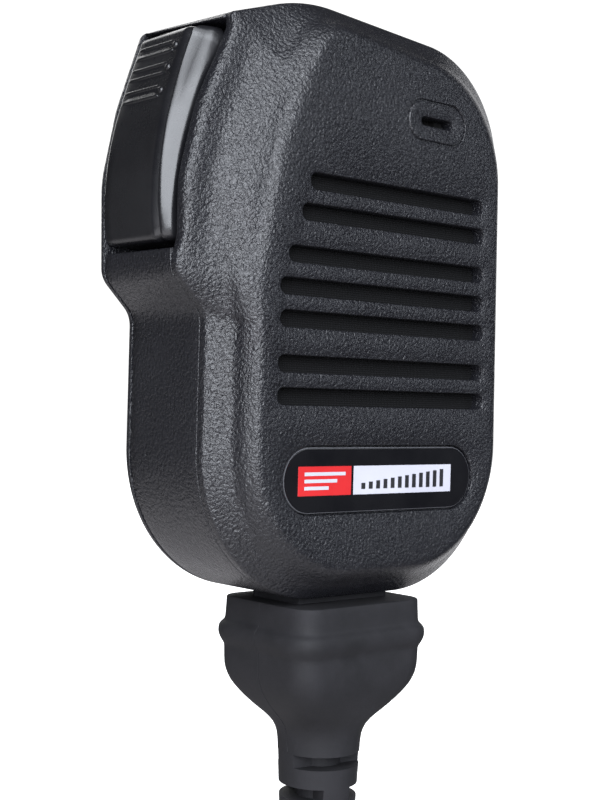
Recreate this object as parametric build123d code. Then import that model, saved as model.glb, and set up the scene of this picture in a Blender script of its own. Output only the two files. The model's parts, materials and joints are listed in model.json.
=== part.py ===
from build123d import *
import math
import os

os.makedirs("parts", exist_ok=True)

# ---------------------------------------------------------------- dimensions (mm)
# Working frame: X to the right seen from the front, Y from the front face to the
# back, Z up. Every piece is moved at the end so that the clip's swivel axis on the
# rear face is the origin.
DEPTH = 24.8          # body, front face to rear face
SWIVEL_Z = 8.0        # height of the clip's swivel axis in the working frame
Y_RIM = 6.0           # where the front chamfer ends
Y_SEAM = 7.2          # front case / centre frame
Y_REAR = 23.2         # centre frame / back cover
WALL = 2.2            # front case wall
BAND_WALL = 2.0       # centre frame wall
BACK_PLATE = 2.4      # back cover plate

# corners of the outlines (x, z, corner radius); same count and order in all three
FACE = [(-24.3, -36.6, 18.0), (-24.5, -2.0, 10.0), (-24.7, 3.5, 10.0), (-22.8, 14.5, 30.0),
        (-20.9, 23.4, 25.0), (-17.3, 32.3, 12.0), (-13.3, 41.1, 6.5), (23.4, 37.1, 17.0),
        (24.4, -36.6, 18.0)]
RIM = [(-29.4, -41.0, 21.5), (-29.4, -0.5, 3.6), (-34.5, 4.6, 3.6), (-34.9, 17.5, 18.0),
       (-32.2, 28.6, 20.0), (-26.3, 41.0, 1.8), (-13.1, 45.4, 28.0), (29.4, 42.6, 17.5),
       (29.4, -41.0, 21.5)]
REAR = [(-29.4, -41.0, 21.5), (-29.4, -0.5, 3.6), (-34.5, 4.6, 3.6), (-34.9, 18.5, 18.0),
        (-32.6, 28.9, 20.0), (-28.2, 41.1, 1.8), (-13.4, 45.6, 28.0), (29.4, 42.8, 17.5),
        (29.4, -41.0, 21.5)]

SLOT_H = 2.4
SLOTS = [(-16.1, 19.9, 18.5), (-17.5, 20.3, 14.1), (-19.7, 20.2, 8.1), (-21.1, 20.3, 3.6),
         (-21.0, 20.7, -0.9), (-21.2, 20.7, -7.1), (-21.2, 21.0, -11.6)]
BADGE = (-0.4, -23.3, 38.7, 9.8)     # centre x, z, width, height of the recess
BADGE_DEEP = 1.0
MIC = (9.0, 30.2)
MIC_RING = (12.6, 6.4)
MIC_SLIT = (6.6, 1.3)

SPK = (0.0, 3.5)                      # speaker axis
SPK_R = 20.0

# push-to-talk paddle
PTT_Y0, PTT_Y1 = 8.4, 22.9
PTT_PIN = (-31.4, 11.6)
PTT_PIN_R = 0.8
PTT_RUN = 0.05
PTT_FRONT = [(-34.0, 9.0), (-34.0, 14.0), (-33.1, 21.0), (-31.7, 26.7), (-30.0, 31.7),
             (-27.8, 36.3), (-26.6, 38.4), (-25.9, 39.7)]
PTT_OUT = [(-34.5, 9.0), (-35.1, 14.0), (-34.9, 20.0), (-33.9, 25.5), (-32.6, 30.0),
           (-31.1, 34.5), (-29.7, 38.3), (-29.0, 39.7)]
PTT_IN = [(-25.2, 39.7), (-29.3, 22.0), (-29.3, 9.0)]
NOTCH = [(-45.0, 7.9), (-28.4, 7.9), (-28.4, 16.0), (-22.8, 40.2), (-45.0, 40.2)]
NOTCH_WALL = [(-45.0, 6.1), (-26.6, 6.1), (-26.6, 15.8), (-20.6, 42.0), (-45.0, 42.0)]
PLUNGER = (14.2, 22.0)                # y, z of the switch plunger's axis
PLUNGER_R = 1.3

# cable boot
CABLE_Y = 13.0
CABLE_R = 2.6
BOOT_A, BOOT_B, BOOT_R = 12.6, 10.4, 3.5
HEAD_TOP = -42.1
RELIEF_SLOT_Z0 = -66.4
RELIEF_PITCH = 4.9
RELIEF_SLOT_H = 2.0
RELIEF_TURN = -11.0
RELIEF_END = -88.0

# clip
CLIP_PIN_Y = 6.4                      # behind the rear face
CLIP_PIN_Z = 8.5                      # above the swivel axis
CLIP_PIN_R = 1.1
CLIP_RUN = 0.06

BOSSES = [(21.3, -19.5), (-21.3, -19.5), (19.6, 30.5), (-15.6, 34.6)]
BOARD_BOSSES = [(-13.5, -26.5), (13.5, -26.5), (-4.0, 33.5)]
RETAINER_BOSSES = [(-23.2, -1.5), (23.4, -1.5)]
CLAMP_POSTS = [(-7.2, -33.6), (7.2, -33.6)]


# ---------------------------------------------------------------- helpers
def plane_at(y):
    return Plane(origin=(0, y, 0), x_dir=(1, 0, 0), z_dir=(0, -1, 0))


def rounded_wire(corners, y):
    """Closed wire of lines and arcs in the plane Y = y; one arc per corner."""
    n = len(corners)
    stops = []
    for i in range(n):
        x, z, r = corners[i]
        ax, az = corners[i - 1][0] - x, corners[i - 1][1] - z
        bx, bz = corners[(i + 1) % n][0] - x, corners[(i + 1) % n][1] - z
        la, lb = math.hypot(ax, az), math.hypot(bx, bz)
        ax, az, bx, bz = ax / la, az / la, bx / lb, bz / lb
        inner = math.acos(max(-1.0, min(1.0, ax * bx + az * bz)))
        t = r / math.tan(inner / 2)
        mx, mz = ax + bx, az + bz
        lm = math.hypot(mx, mz)
        d = r / math.sin(inner / 2)
        cx, cz = x + mx / lm * d, z + mz / lm * d
        vx, vz = x - cx, z - cz
        lv = math.hypot(vx, vz)
        stops.append(((x + ax * t, z + az * t), (cx + vx / lv * r, cz + vz / lv * r),
                      (x + bx * t, z + bz * t)))
    edges = []
    for i in range(n):
        a, m, b = stops[i]
        edges.append(ThreePointArc((a[0], y, a[1]), (m[0], y, m[1]), (b[0], y, b[1])))
        c = stops[(i + 1) % n][0]
        edges.append(Line((b[0], y, b[1]), (c[0], y, c[1])))
    return Wire([e if isinstance(e, Edge) else e.edges()[0] for e in edges])


def inset(corners, t):
    """The same outline moved inwards by t (clockwise or not, convex or not)."""
    n = len(corners)
    area = sum(corners[i][0] * corners[(i + 1) % n][1] - corners[(i + 1) % n][0] * corners[i][1]
               for i in range(n))
    sign = 1.0 if area > 0 else -1.0
    lines = []
    for i in range(n):
        x0, z0, _ = corners[i]
        x1, z1, _ = corners[(i + 1) % n]
        dx, dz = x1 - x0, z1 - z0
        ln = math.hypot(dx, dz)
        nx, nz = -dz / ln * sign, dx / ln * sign
        lines.append((x0 + nx * t, z0 + nz * t, dx / ln, dz / ln))
    out = []
    for i in range(n):
        x0, z0, ax, az = lines[i - 1]
        x1, z1, bx, bz = lines[i]
        den = ax * bz - az * bx
        s = ((x1 - x0) * bz - (z1 - z0) * bx) / den
        turn = den * sign
        r = corners[i][2] - t if turn > 0 else corners[i][2] + t
        out.append((x0 + ax * s, z0 + az * s, max(r, 0.6)))
    return out


def prism(corners, y0, y1):
    return extrude(Face(rounded_wire(corners, y0)), amount=y1 - y0, dir=(0, 1, 0))


def poly_prism(points, y0, y1):
    pts = [(x, y0, z) for x, z in points]
    return extrude(Face(Wire.make_polygon([Vector(*p) for p in pts], close=True)),
                   amount=y1 - y0, dir=(0, 1, 0))


def ruled(corners0, y0, corners1, y1):
    return Solid.make_loft([rounded_wire(corners0, y0), rounded_wire(corners1, y1)], ruled=True)


def box(x0, x1, y0, y1, z0, z1):
    return Pos((x0 + x1) / 2, (y0 + y1) / 2, (z0 + z1) / 2) * Box(x1 - x0, y1 - y0, z1 - z0)


def rod_y(x, z, r, y0, y1):
    return Pos(x, (y0 + y1) / 2, z) * Rot(90, 0, 0) * Cylinder(r, y1 - y0)


def rod_x(y, z, r, x0, x1):
    return Pos((x0 + x1) / 2, y, z) * Rot(0, 90, 0) * Cylinder(r, x1 - x0)


def rod_z(x, y, r, z0, z1):
    return Pos(x, y, (z0 + z1) / 2) * Cylinder(r, z1 - z0)


def tube_y(x, z, r_in, r_out, y0, y1):
    return rod_y(x, z, r_out, y0, y1) - rod_y(x, z, r_in, y0 - 1, y1 + 1)


def stadium(cx, cz, w, h, y0, y1):
    """Plate with fully round ends, thickness along Y."""
    r = h / 2
    body = box(cx - w / 2 + r, cx + w / 2 - r, y0, y1, cz - r, cz + r)
    return body + rod_y(cx - w / 2 + r, cz, r, y0, y1) + rod_y(cx + w / 2 - r, cz, r, y0, y1)


def rounded_plan(a, b, r, z):
    """Rounded rectangle wire in a horizontal plane, centred on the cable axis."""
    pts = [(-a, -b), (a, -b), (a, b), (-a, b)]
    edges = []
    c = math.cos(math.pi / 4)
    seq = [((-a, -b + r), (-a + r - r * c, -b + r - r * c), (-a + r, -b)),
           ((a - r, -b), (a - r + r * c, -b + r - r * c), (a, -b + r)),
           ((a, b - r), (a - r + r * c, b - r + r * c), (a - r, b)),
           ((-a + r, b), (-a + r - r * c, b - r + r * c), (-a, b - r))]
    for i in range(4):
        p, m, q = seq[i]
        edges.append(ThreePointArc((p[0], CABLE_Y + p[1], z), (m[0], CABLE_Y + m[1], z),
                                   (q[0], CABLE_Y + q[1], z)))
        n = seq[(i + 1) % 4][0]
        edges.append(Line((q[0], CABLE_Y + q[1], z), (n[0], CABLE_Y + n[1], z)))
    return Wire([e.edges()[0] for e in edges])


def screw(x, z, y_head, head_r, head_t, shank_r, y_tip, to_front=True):
    """Pan-head cross-recess screw along Y; the head's outer face is at y_head."""
    s = -1 if to_front else 1
    head = rod_y(x, z, head_r, min(y_head, y_head + s * head_t), max(y_head, y_head + s * head_t))
    head = chamfer(head.edges().filter_by(GeomType.CIRCLE).sort_by(Axis.Y)[-1 if to_front else 0],
                   head_t * 0.4)
    shank = rod_y(x, z, shank_r, min(y_head + s * head_t * 0.9, y_tip), max(y_head + s * head_t * 0.9, y_tip))
    body = head + shank
    d = head_t * 0.6
    y0, y1 = sorted((y_head + 0.1 * -s, y_head + s * d))
    body -= box(x - head_r * 0.58, x + head_r * 0.58, y0, y1, z - head_r * 0.14, z + head_r * 0.14)
    body -= box(x - head_r * 0.14, x + head_r * 0.14, y0, y1, z - head_r * 0.58, z + head_r * 0.58)
    return body


def put(shape, node):
    moved = Pos(0, -DEPTH, -SWIVEL_Z) * shape
    export_step(moved, f"parts/{node}.step")
    return moved


# ---------------------------------------------------------------- body envelope
front_skin = ruled(FACE, 0, RIM, Y_RIM) + prism(RIM, Y_RIM, Y_SEAM)
band_skin = ruled(RIM, Y_SEAM, REAR, Y_REAR)

# ---------------------------------------------------------------- front case
front_hollow = ruled(inset(FACE, 1.4), WALL, inset(RIM, WALL), Y_RIM + 0.6)
front_hollow += prism(inset(RIM, WALL), Y_RIM + 0.6, Y_SEAM + 1)
front_hollow -= poly_prism(NOTCH_WALL, 0, Y_SEAM + 2)      # solid cheek in front of the paddle
front_case = front_skin - front_hollow
bosses = None
for x, z in BOSSES:
    b = rod_y(x, z, 3.0, 1.0, 19.8)
    bosses = b if bosses is None else bosses + b
for x, z in BOARD_BOSSES:
    bosses += rod_y(x, z, 2.4, 1.0, 15.9)
for x, z in RETAINER_BOSSES:
    bosses += rod_y(x, z, 2.0, 1.0, 8.6)
for x, z in CLAMP_POSTS:
    bosses += rod_y(x, z, 2.2, 1.0, 9.6)
ring = tube_y(SPK[0], SPK[1], SPK_R + 0.3, SPK_R + 1.4, 1.0, 4.8)
ring -= box(-30, 30, 0, 6, -15.0, 21.4)          # open where the grille cloth lies
keep = prism(inset(FACE, 0.8), 1.0, 2.2) + front_hollow + prism(inset(RIM, 3.0), Y_SEAM, 21.0)
front_case += (bosses + ring) & keep
for x, z in BOSSES:
    front_case -= rod_y(x, z, 1.05, 9.0, 20.5)
for x, z in BOARD_BOSSES:
    front_case -= rod_y(x, z, 0.85, 9.0, 16.5)
for x, z in RETAINER_BOSSES:
    front_case -= rod_y(x, z, 0.8, 3.4, 9.0)
for x, z in CLAMP_POSTS:
    front_case -= rod_y(x, z, 0.8, 4.4, 10.0)
for x0, x1, z in SLOTS:
    front_case -= stadium((x0 + x1) / 2, z, x1 - x0, SLOT_H, -1, WALL + 0.6)
front_case -= stadium(BADGE[0], BADGE[1], BADGE[2], BADGE[3], -1, BADGE_DEEP)
front_case -= stadium(MIC[0], MIC[1], MIC_SLIT[0], MIC_SLIT[1], -1, WALL + 0.6)
groove = stadium(MIC[0], MIC[1], MIC_RING[0], MIC_RING[1], -1, 0.3)
groove -= stadium(MIC[0], MIC[1], MIC_RING[0] - 0.7, MIC_RING[1] - 0.7, -2, 1)
front_case -= groove
front_case -= rod_y(PTT_PIN[0], PTT_PIN[1], PTT_PIN_R, 5.4, Y_SEAM + 1)
put(front_case, "front_case")

# ---------------------------------------------------------------- centre frame
band_hollow = ruled(inset(RIM, BAND_WALL), Y_SEAM - 0.01, inset(REAR, BAND_WALL), Y_REAR + 0.01)
centre_frame = band_skin - poly_prism(NOTCH, Y_SEAM - 1, Y_REAR + 1)
centre_frame -= band_hollow - poly_prism(NOTCH_WALL, Y_SEAM - 1, Y_REAR + 1)
centre_frame -= rod_x(PLUNGER[0], PLUNGER[1], PLUNGER_R + 0.5, -40, -20)      # plunger hole
centre_frame -= box(-9.2, 9.2, 8.2, 19.0, -44, -38)                           # cable entry
seal_path_out = inset(RIM, 0.6)
seal_path_in = inset(RIM, 1.4)
seal_ring = prism(seal_path_out, Y_SEAM, Y_SEAM + 0.8) - prism(seal_path_in, Y_SEAM - 0.5, Y_SEAM + 1.5)
seal_ring -= poly_prism(NOTCH_WALL, Y_SEAM - 1, Y_SEAM + 3)
centre_frame -= seal_ring
put(centre_frame, "centre_frame")
put(seal_ring, "case_seal")

# ---------------------------------------------------------------- back cover
back_cover = prism(REAR, Y_REAR, DEPTH)
back_cover = fillet(back_cover.faces().sort_by(Axis.Y)[-1].edges(), 1.1)
spigot = prism(inset(REAR, BAND_WALL + 0.25), DEPTH - BACK_PLATE, Y_REAR)
spigot -= poly_prism([(p[0] + 0.3, p[1]) for p in NOTCH_WALL], Y_SEAM, DEPTH)
back_cover += spigot
back_cover += rod_y(0, SWIVEL_Z, 6.0, 18.6, Y_REAR)
for x, z in BOSSES:
    back_cover += rod_y(x, z, 3.0, 20.1, Y_REAR)
    back_cover -= rod_y(x, z, 1.35, 19, DEPTH + 1)
    back_cover -= rod_y(x, z, 2.6, DEPTH - 1.5, DEPTH + 1)
back_cover -= rod_y(0, SWIVEL_Z, 1.5, 17, DEPTH + 1)
back_cover -= rod_y(PTT_PIN[0], PTT_PIN[1], PTT_PIN_R, Y_REAR - 1, Y_REAR + 0.9)
put(back_cover, "back_cover")

case_screws = None
for x, z in BOSSES:
    s = screw(x, z, DEPTH - 0.25, 2.3, 1.25, 1.05, 10.5)
    case_screws = s if case_screws is None else case_screws + s
put(Compound(children=list(case_screws.solids())), "case_screws")

# ---------------------------------------------------------------- badge and cloth
badge = stadium(BADGE[0], BADGE[1], BADGE[2] - 0.5, BADGE[3] - 0.5, BADGE_DEEP - 0.8, BADGE_DEEP)
put(badge, "badge_plate")
cloth = box(-22.4, 22.4, WALL, WALL + 0.35, -14.4, 21.0) & prism(inset(FACE, 1.9), WALL, WALL + 0.35)
for x, z in RETAINER_BOSSES:
    cloth -= rod_y(x, z, 2.2, 0, 5)
cloth_disc = max(cloth.solids(), key=lambda s: s.volume)
put(cloth_disc, "speaker_cloth")

# ---------------------------------------------------------------- loudspeaker
gasket = tube_y(SPK[0], SPK[1], 17.6, SPK_R - 0.1, WALL + 0.35, 3.3)
put(gasket, "speaker_gasket")
basket = tube_y(SPK[0], SPK[1], 17.9, SPK_R, 3.3, 4.1)
basket += tube_y(SPK[0], SPK[1], 17.9, 18.9, 4.1, 6.4)
cone_out = Pos(SPK[0], 8.0, SPK[1]) * Rot(-90, 0, 0) * Cone(18.9, 11.8, 3.2)
cone_in = Pos(SPK[0], 8.0, SPK[1]) * Rot(-90, 0, 0) * Cone(17.9, 10.8, 3.2)
basket += cone_out - cone_in
basket += tube_y(SPK[0], SPK[1], 7.4, 11.8, 9.6, 10.4)
for k in range(4):
    a = math.radians(45 + 90 * k)
    basket -= Pos(SPK[0] + 15.2 * math.cos(a), 8.0, SPK[1] + 15.2 * math.sin(a)) * Rot(0, -math.degrees(a), 0) * Box(5.0, 2.0, 9.0)
put(basket, "speaker_frame")
magnet = rod_y(SPK[0], SPK[1], 10.6, 10.4, 13.6) - rod_y(SPK[0], SPK[1], 4.2, 10.0, 12.6)
magnet = magnet + rod_y(SPK[0], SPK[1], 3.2, 10.6, 13.0)
put(magnet, "speaker_magnet")
cone = Pos(SPK[0], 5.9, SPK[1]) * Rot(-90, 0, 0) * Cone(17.2, 5.0, 3.6)
cone -= Pos(SPK[0], 5.9 - 0.5, SPK[1]) * Rot(-90, 0, 0) * Cone(17.2, 5.0, 3.6)
cone += tube_y(SPK[0], SPK[1], 3.45, 4.0, 7.3, 12.0) + rod_y(SPK[0], SPK[1], 5.2, 7.0, 7.5)
cone += tube_y(SPK[0], SPK[1], 16.6, 17.7, 3.8, 4.3)
put(cone, "speaker_cone")
retainer = tube_y(SPK[0], SPK[1], 12.4, 15.6, 8.6, 9.6)
arm = box(-25.3, 25.5, 8.6, 9.6, -4.0, 1.0) - rod_y(SPK[0], SPK[1], 15.0, 8, 11)
retainer += arm
retainer -= rod_y(SPK[0], SPK[1], 12.4, 8, 11)
for x, z in RETAINER_BOSSES:
    retainer -= rod_y(x, z, 1.1, 8, 11)
cone_clear = Pos(SPK[0], 8.0, SPK[1]) * Rot(-90, 0, 0) * Cone(19.1, 12.0, 3.2)
retainer -= cone_clear
retainer = max(retainer.solids(), key=lambda s: s.volume)
put(retainer, "speaker_retainer")
rs = None
for x, z in RETAINER_BOSSES:
    s = screw(x, z, 10.8, 1.9, 1.2, 0.8, 4.6)
    rs = s if rs is None else rs + s
put(Compound(children=list(rs.solids())), "retainer_screws")

# ---------------------------------------------------------------- microphone
mic_boot = rod_y(MIC[0], MIC[1], 4.4, WALL, 7.2) - rod_y(MIC[0], MIC[1], 3.0, 3.2, 6.2)
mic_boot -= rod_y(MIC[0], MIC[1], 1.5, 0, 9)
put(mic_boot, "mic_boot")
mic = rod_y(MIC[0], MIC[1], 3.0, 3.2, 6.2)
mic -= rod_y(MIC[0], MIC[1], 1.0, 3.0, 3.5)
put(mic, "mic_capsule")

# ---------------------------------------------------------------- circuit board
board = poly_prism([(-23.5, -20.0), (-24.5, -6.0), (-24.5, 4.5), (-23.6, 6.0), (-23.6, 20.5), (-16.0, 29.5),
                    (-12.0, 36.0), (-4.0, 39.0), (10.0, 39.0), (22.0, 22.0), (24.5, 10.0),
                    (24.5, -14.0), (20.0, -29.0), (-18.0, -29.0)], 16.0, 17.2)
for x, z in BOSSES:
    board -= rod_y(x, z, 3.5, 10, 20)
for x, z in BOARD_BOSSES:
    board -= rod_y(x, z, 1.1, 10, 20)
board = max(board.solids(), key=lambda s: s.volume)
put(board, "circuit_board")
comps = [box(-3.5, 3.5, 17.2, 18.3, 16.0, 23.0), box(8.0, 13.0, 17.2, 18.6, 18.0, 24.0),
         box(-14.0, -9.0, 17.2, 18.4, 16.0, 20.0), box(-12, -4, 17.2, 19.4, -25.0, -20.0),
         box(4, 12, 17.2, 19.4, -25.0, -20.0), box(-18, -12, 17.2, 18.2, -8, -2),
         rod_y(15.0, -6.0, 2.5, 17.2, 21.0), rod_y(15.0, 3.0, 2.0, 17.2, 20.0),
         box(12, 18, 14.4, 16.0, 22.0, 25.0), box(-16, -13, 14.8, 16.0, 25.0, 27.0)]
put(Compound(children=[c.solids()[0] for c in comps]), "board_components")
bs = None
for x, z in BOARD_BOSSES:
    s = screw(x, z, 18.5, 1.9, 1.3, 0.85, 10.5)
    bs = s if bs is None else bs + s
put(Compound(children=list(bs.solids())), "board_screws")

# ---------------------------------------------------------------- push-to-talk switch
sw_y, sw_z = PLUNGER
switch = box(-24.0, -18.2, 12.4, 16.0, sw_z - 3.0, sw_z + 3.0)
switch -= rod_x(14.2, sw_z, 1.05, -25, -20.4)
put(switch, "ptt_switch")
plunger = rod_x(14.2, sw_z, 1.0, -28.9, -21.4)
cap = rod_x(14.2, sw_z, 1.25, -29.0, -28.0)
plunger += chamfer(cap.edges().filter_by(GeomType.CIRCLE).sort_by(Axis.X)[0], 0.4)
plunger = max(plunger.solids(), key=lambda s: s.volume)
put(plunger, "switch_plunger")

# ---------------------------------------------------------------- paddle
low = PTT_FRONT + PTT_IN
mid = PTT_OUT + PTT_IN


def poly_wire(points, y):
    return Wire.make_polygon([Vector(x, y, z) for x, z in points], close=True)


ptt = Solid.make_loft([poly_wire(low, PTT_Y0), poly_wire(mid, 10.2)], ruled=True)
ptt += poly_prism(mid, 10.2, PTT_Y1)
ptt -= rod_y(PTT_PIN[0], PTT_PIN[1], PTT_PIN_R + PTT_RUN, PTT_Y0 - 1, PTT_Y1 + 1)
pocket = rod_y(PTT_PIN[0], PTT_PIN[1], 2.5, 14.0, 19.0) + box(PTT_PIN[0], -27, 14.0, 19.0, PTT_PIN[1] - 2.5, PTT_PIN[1] + 8.5)
ptt -= pocket
# rib pairs across the upper, slanted part, each with a small dome at its front end
def out_x(z):
    for (xa, za), (xb, zb) in zip(PTT_OUT, PTT_OUT[1:]):
        if za <= z <= zb:
            return xa + (xb - xa) * (z - za) / (zb - za)


for z in (36.9, 33.6, 30.2):
    for dz in (-0.7, 0.7):
        ptt += rod_y(out_x(z + dz) + 0.15, z + dz, 0.4, 13.2, 22.3)
put(ptt, "ptt_button")

pin = rod_y(PTT_PIN[0], PTT_PIN[1], PTT_PIN_R, 5.6, Y_REAR + 0.8)
put(pin, "ptt_hinge_pin")

# torsion spring round the hinge pin, inside the paddle's pocket
coil_r, wire_r = 1.55, 0.25
turns, pitch = 4, 0.62
helix = Helix(pitch=pitch, height=pitch * turns, radius=coil_r, direction=(0, 1, 0))
coil = sweep(Plane(origin=helix @ 0, z_dir=helix % 0) * Circle(wire_r), path=helix)
coil = Pos(PTT_PIN[0], 15.2, PTT_PIN[1]) * coil
put(coil, "ptt_return_spring")

# rubber seal ring round the plunger, on the outer side of the frame wall
def wall_x(z):
    return -28.4 + (z - 16.0) * (5.9 / 24.9)


seal = rod_x(14.2, sw_z, 1.8, -30, -24.5) - rod_x(14.2, sw_z, 1.35, -31, -20)
lim = poly_prism([(wall_x(10.0) - 0.0, 10.0), (wall_x(16.0), 16.0), (wall_x(34.0), 34.0), (-10, 34.0), (-10, 10.0)], 5, 22)
inner = poly_prism([(-26.6 - 0.0, 15.8), (-26.6 + (30 - 15.8) * (6.3 / 26.8), 30.0), (0, 30.0), (0, 15.8)], 5, 22)
seal = (seal & lim) - inner
seal = max(seal.solids(), key=lambda s: s.volume)
put(seal, "plunger_seal")

# ---------------------------------------------------------------- cable boot
head = Solid.make_loft([rounded_plan(BOOT_A - 0.15, BOOT_B - 0.15, BOOT_R, HEAD_TOP),
                        rounded_plan(BOOT_A, BOOT_B, BOOT_R, -45.7)], ruled=True)
band = Solid.make_loft([rounded_plan(BOOT_A, BOOT_B, BOOT_R, -45.7),
                        rounded_plan(BOOT_A + 0.85, BOOT_B + 0.8, BOOT_R + 0.5, -46.6),
                        rounded_plan(BOOT_A + 0.85, BOOT_B + 0.8, BOOT_R + 0.5, -48.0),
                        rounded_plan(BOOT_A, BOOT_B, BOOT_R, -49.6)], ruled=True)
taper = [(-49.6, 12.6, 10.4, 3.5), (-53.0, 12.5, 10.3, 3.6), (-54.9, 11.85, 9.85, 3.9),
         (-56.4, 11.0, 9.3, 4.4), (-58.1, 9.6, 8.4, 5.0), (-59.6, 8.15, 7.55, 5.8),
         (-61.1, 7.0, 6.85, 6.2), (-62.7, 6.5, 6.45, 6.35), (-64.2, 6.34, 6.34, 6.32)]
neck = Solid.make_loft([rounded_plan(a, b, r, z) for z, a, b, r in taper], ruled=True)
relief = Pos(0, CABLE_Y, (-64.2 + RELIEF_END) / 2) * Cone(5.1, 6.35, -64.2 - RELIEF_END)
relief = fillet(relief.edges().sort_by(Axis.Z)[0], 0.8)
boot = head + band + neck + relief
flange = extrude(Face(rounded_plan(9.4, 7.2, 2.6, HEAD_TOP - 0.1)), amount=3.0, dir=(0, 0, 1))
flange -= front_skin + band_skin
flange = max(flange.solids(), key=lambda s: s.volume)
boot += flange
boot += box(-9.0, 9.0, 8.4, 18.8, HEAD_TOP - 0.1, -37.4)
boot += box(-10.4, 10.4, 8.4, 19.6, -38.6, -37.4)
boot -= rod_z(0, CABLE_Y, CABLE_R, -100, -30)
for k in range(5):
    zc = RELIEF_SLOT_Z0 - k * RELIEF_PITCH
    if zc < RELIEF_END + 1.5:
        break
    cut = Pos(0, CABLE_Y, zc) * Rot(0, 0, RELIEF_TURN + 90 * ((k + 1) % 2)) * Box(15, 14, RELIEF_SLOT_H)
    cut -= rod_z(0, CABLE_Y, 3.4, zc - 3, zc + 3)
    cut -= Pos(0, CABLE_Y, zc) * Rot(0, 0, RELIEF_TURN + 90 * ((k + 1) % 2)) * Box(4.6, 30, 5)
    boot -= cut
put(boot, "cable_boot")

# ---------------------------------------------------------------- cord clamp
clamp = box(-9.6, 9.6, 9.6, 11.0, -36.0, -31.2)
clamp += rod_z(0, CABLE_Y, 4.2, -36.0, -31.2)
clamp -= rod_z(0, CABLE_Y, 2.9, -40, -30)
clamp -= box(-2.9, 2.9, 5.0, CABLE_Y, -40, -30)
clamp -= box(-5, 5, 5.0, 9.6, -40, -30)
for x, z in CLAMP_POSTS:
    clamp -= rod_y(x, z, 1.1, 5, 15)
put(clamp, "cord_clamp")
cs = None
for x, z in CLAMP_POSTS:
    s = screw(x, z, 12.2, 1.8, 1.2, 0.8, 5.2)
    cs = s if cs is None else cs + s
put(Compound(children=list(cs.solids())), "cord_clamp_screws")

# ---------------------------------------------------------------- rear clip
D, C = DEPTH, SWIVEL_Z
washer = tube_y(0, C, 3.2, 7.0, D, D + 0.5)
put(washer, "swivel_washer")
py, pz = D + CLIP_PIN_Y, C + CLIP_PIN_Z
base = rod_y(0, C, 14.0, D + 0.8, D + 3.4)
base = fillet(base.edges().filter_by(GeomType.CIRCLE).sort_by(Axis.Y)[-1], 0.8)
ear = box(9.9, 11.6, D + 2.6, py, pz - 3.4, pz + 3.4) + rod_x(py, pz, 3.4, 9.9, 11.6)
base += ear
base += mirror(ear, Plane.YZ)
base -= rod_x(py, pz, CLIP_PIN_R, -20, 20)
base -= rod_y(0, C, 2.56, D - 1, D + 6)
base -= rod_y(0, C, 5.2, D + 1.9, D + 6)
put(base, "clip_base")

swivel = rod_y(0, C, 4.6, D + 2.1, D + 3.6) + rod_y(0, C, 2.5, D, D + 2.2) + rod_y(0, C, 1.5, D - 6.0, D + 0.1)
swivel -= box(-3.0, 3.0, D + 3.0, D + 5, C - 0.45, C + 0.45) + box(-0.45, 0.45, D + 3.0, D + 5, C - 3.0, C + 3.0)
put(swivel, "swivel_screw")

clip_pin = rod_x(py, pz, CLIP_PIN_R, -12.0, 12.0)
put(clip_pin, "clip_pin")

# sprung lever: thumb tab on top, long strap, jaw at the bottom curving to the rear face
def arc_pts(cy, cz, r, a0, a1, n):
    return [(cy + r * math.cos(math.radians(a0 + (a1 - a0) * i / n)),
             cz + r * math.sin(math.radians(a0 + (a1 - a0) * i / n))) for i in range(n + 1)]


mid_line = [(D + 8.6, C + 24.0), (D + 9.7, C + 20.0), (D + 9.8, C + 6.0), (D + 9.8, C - 20.5)]
mid_line += arc_pts(D + 4.9, C - 20.5, 4.9, 0, -62, 6)[1:]
mid_line += [(D + 2.6, C - 28.6), (D + 0.95, C - 30.4), (D + 1.6, C - 32.3)]


def strip(points, t, x0, x1):
    left, right = [], []
    n = len(points)
    for i in range(n):
        a = points[max(i - 1, 0)]
        b = points[min(i + 1, n - 1)]
        dy, dz = b[0] - a[0], b[1] - a[1]
        ln = math.hypot(dy, dz)
        ny, nz = -dz / ln, dy / ln
        left.append((points[i][0] + ny * t / 2, points[i][1] + nz * t / 2))
        right.append((points[i][0] - ny * t / 2, points[i][1] - nz * t / 2))
    loop = left + right[::-1]
    w = Wire.make_polygon([Vector(x0, y, z) for y, z in loop], close=True)
    return extrude(Face(w), amount=x1 - x0, dir=(1, 0, 0))


lever = strip(mid_line, 1.2, -9.4, 9.4)
lug = box(8.3, 9.4, py, D + 9.6, pz - 3.0, pz + 3.0) + rod_x(py, pz, 3.0, 8.3, 9.4)
lever += lug
lever += mirror(lug, Plane.YZ)
lever -= rod_x(py, pz, CLIP_PIN_R + CLIP_RUN, -20, 20)
outline = box(-9.4, 9.4, D - 2, D + 20, C - 27.0, C + 19.0)
outline += box(-7.0, 7.0, D - 2, D + 20, C - 34.0, C + 26.0)
outline += Pos(0, D + 9, C + 19.0) * Rot(90, 0, 0) * Cylinder(9.4, 24)
outline += Pos(0, D + 9, C - 26.0) * Rot(90, 0, 0) * Cylinder(9.4, 24)
lever &= outline
lever = max(lever.solids(), key=lambda s: s.volume)
put(lever, "clip_lever")

cr, wr = 1.75, 0.4
ht = 1.0 * 6
hel = Helix(pitch=1.0, height=ht, radius=cr, direction=(1, 0, 0))
ccoil = sweep(Plane(origin=hel @ 0, z_dir=hel % 0) * Circle(wr), path=hel)
ccoil = Pos(-ht / 2, py, pz) * ccoil
put(ccoil, "clip_spring")
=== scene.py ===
import bpy
import bmesh
import json
import math
import numpy as np
from mathutils import Vector, Matrix
from mathutils.geometry import delaunay_2d_cdt


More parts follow.
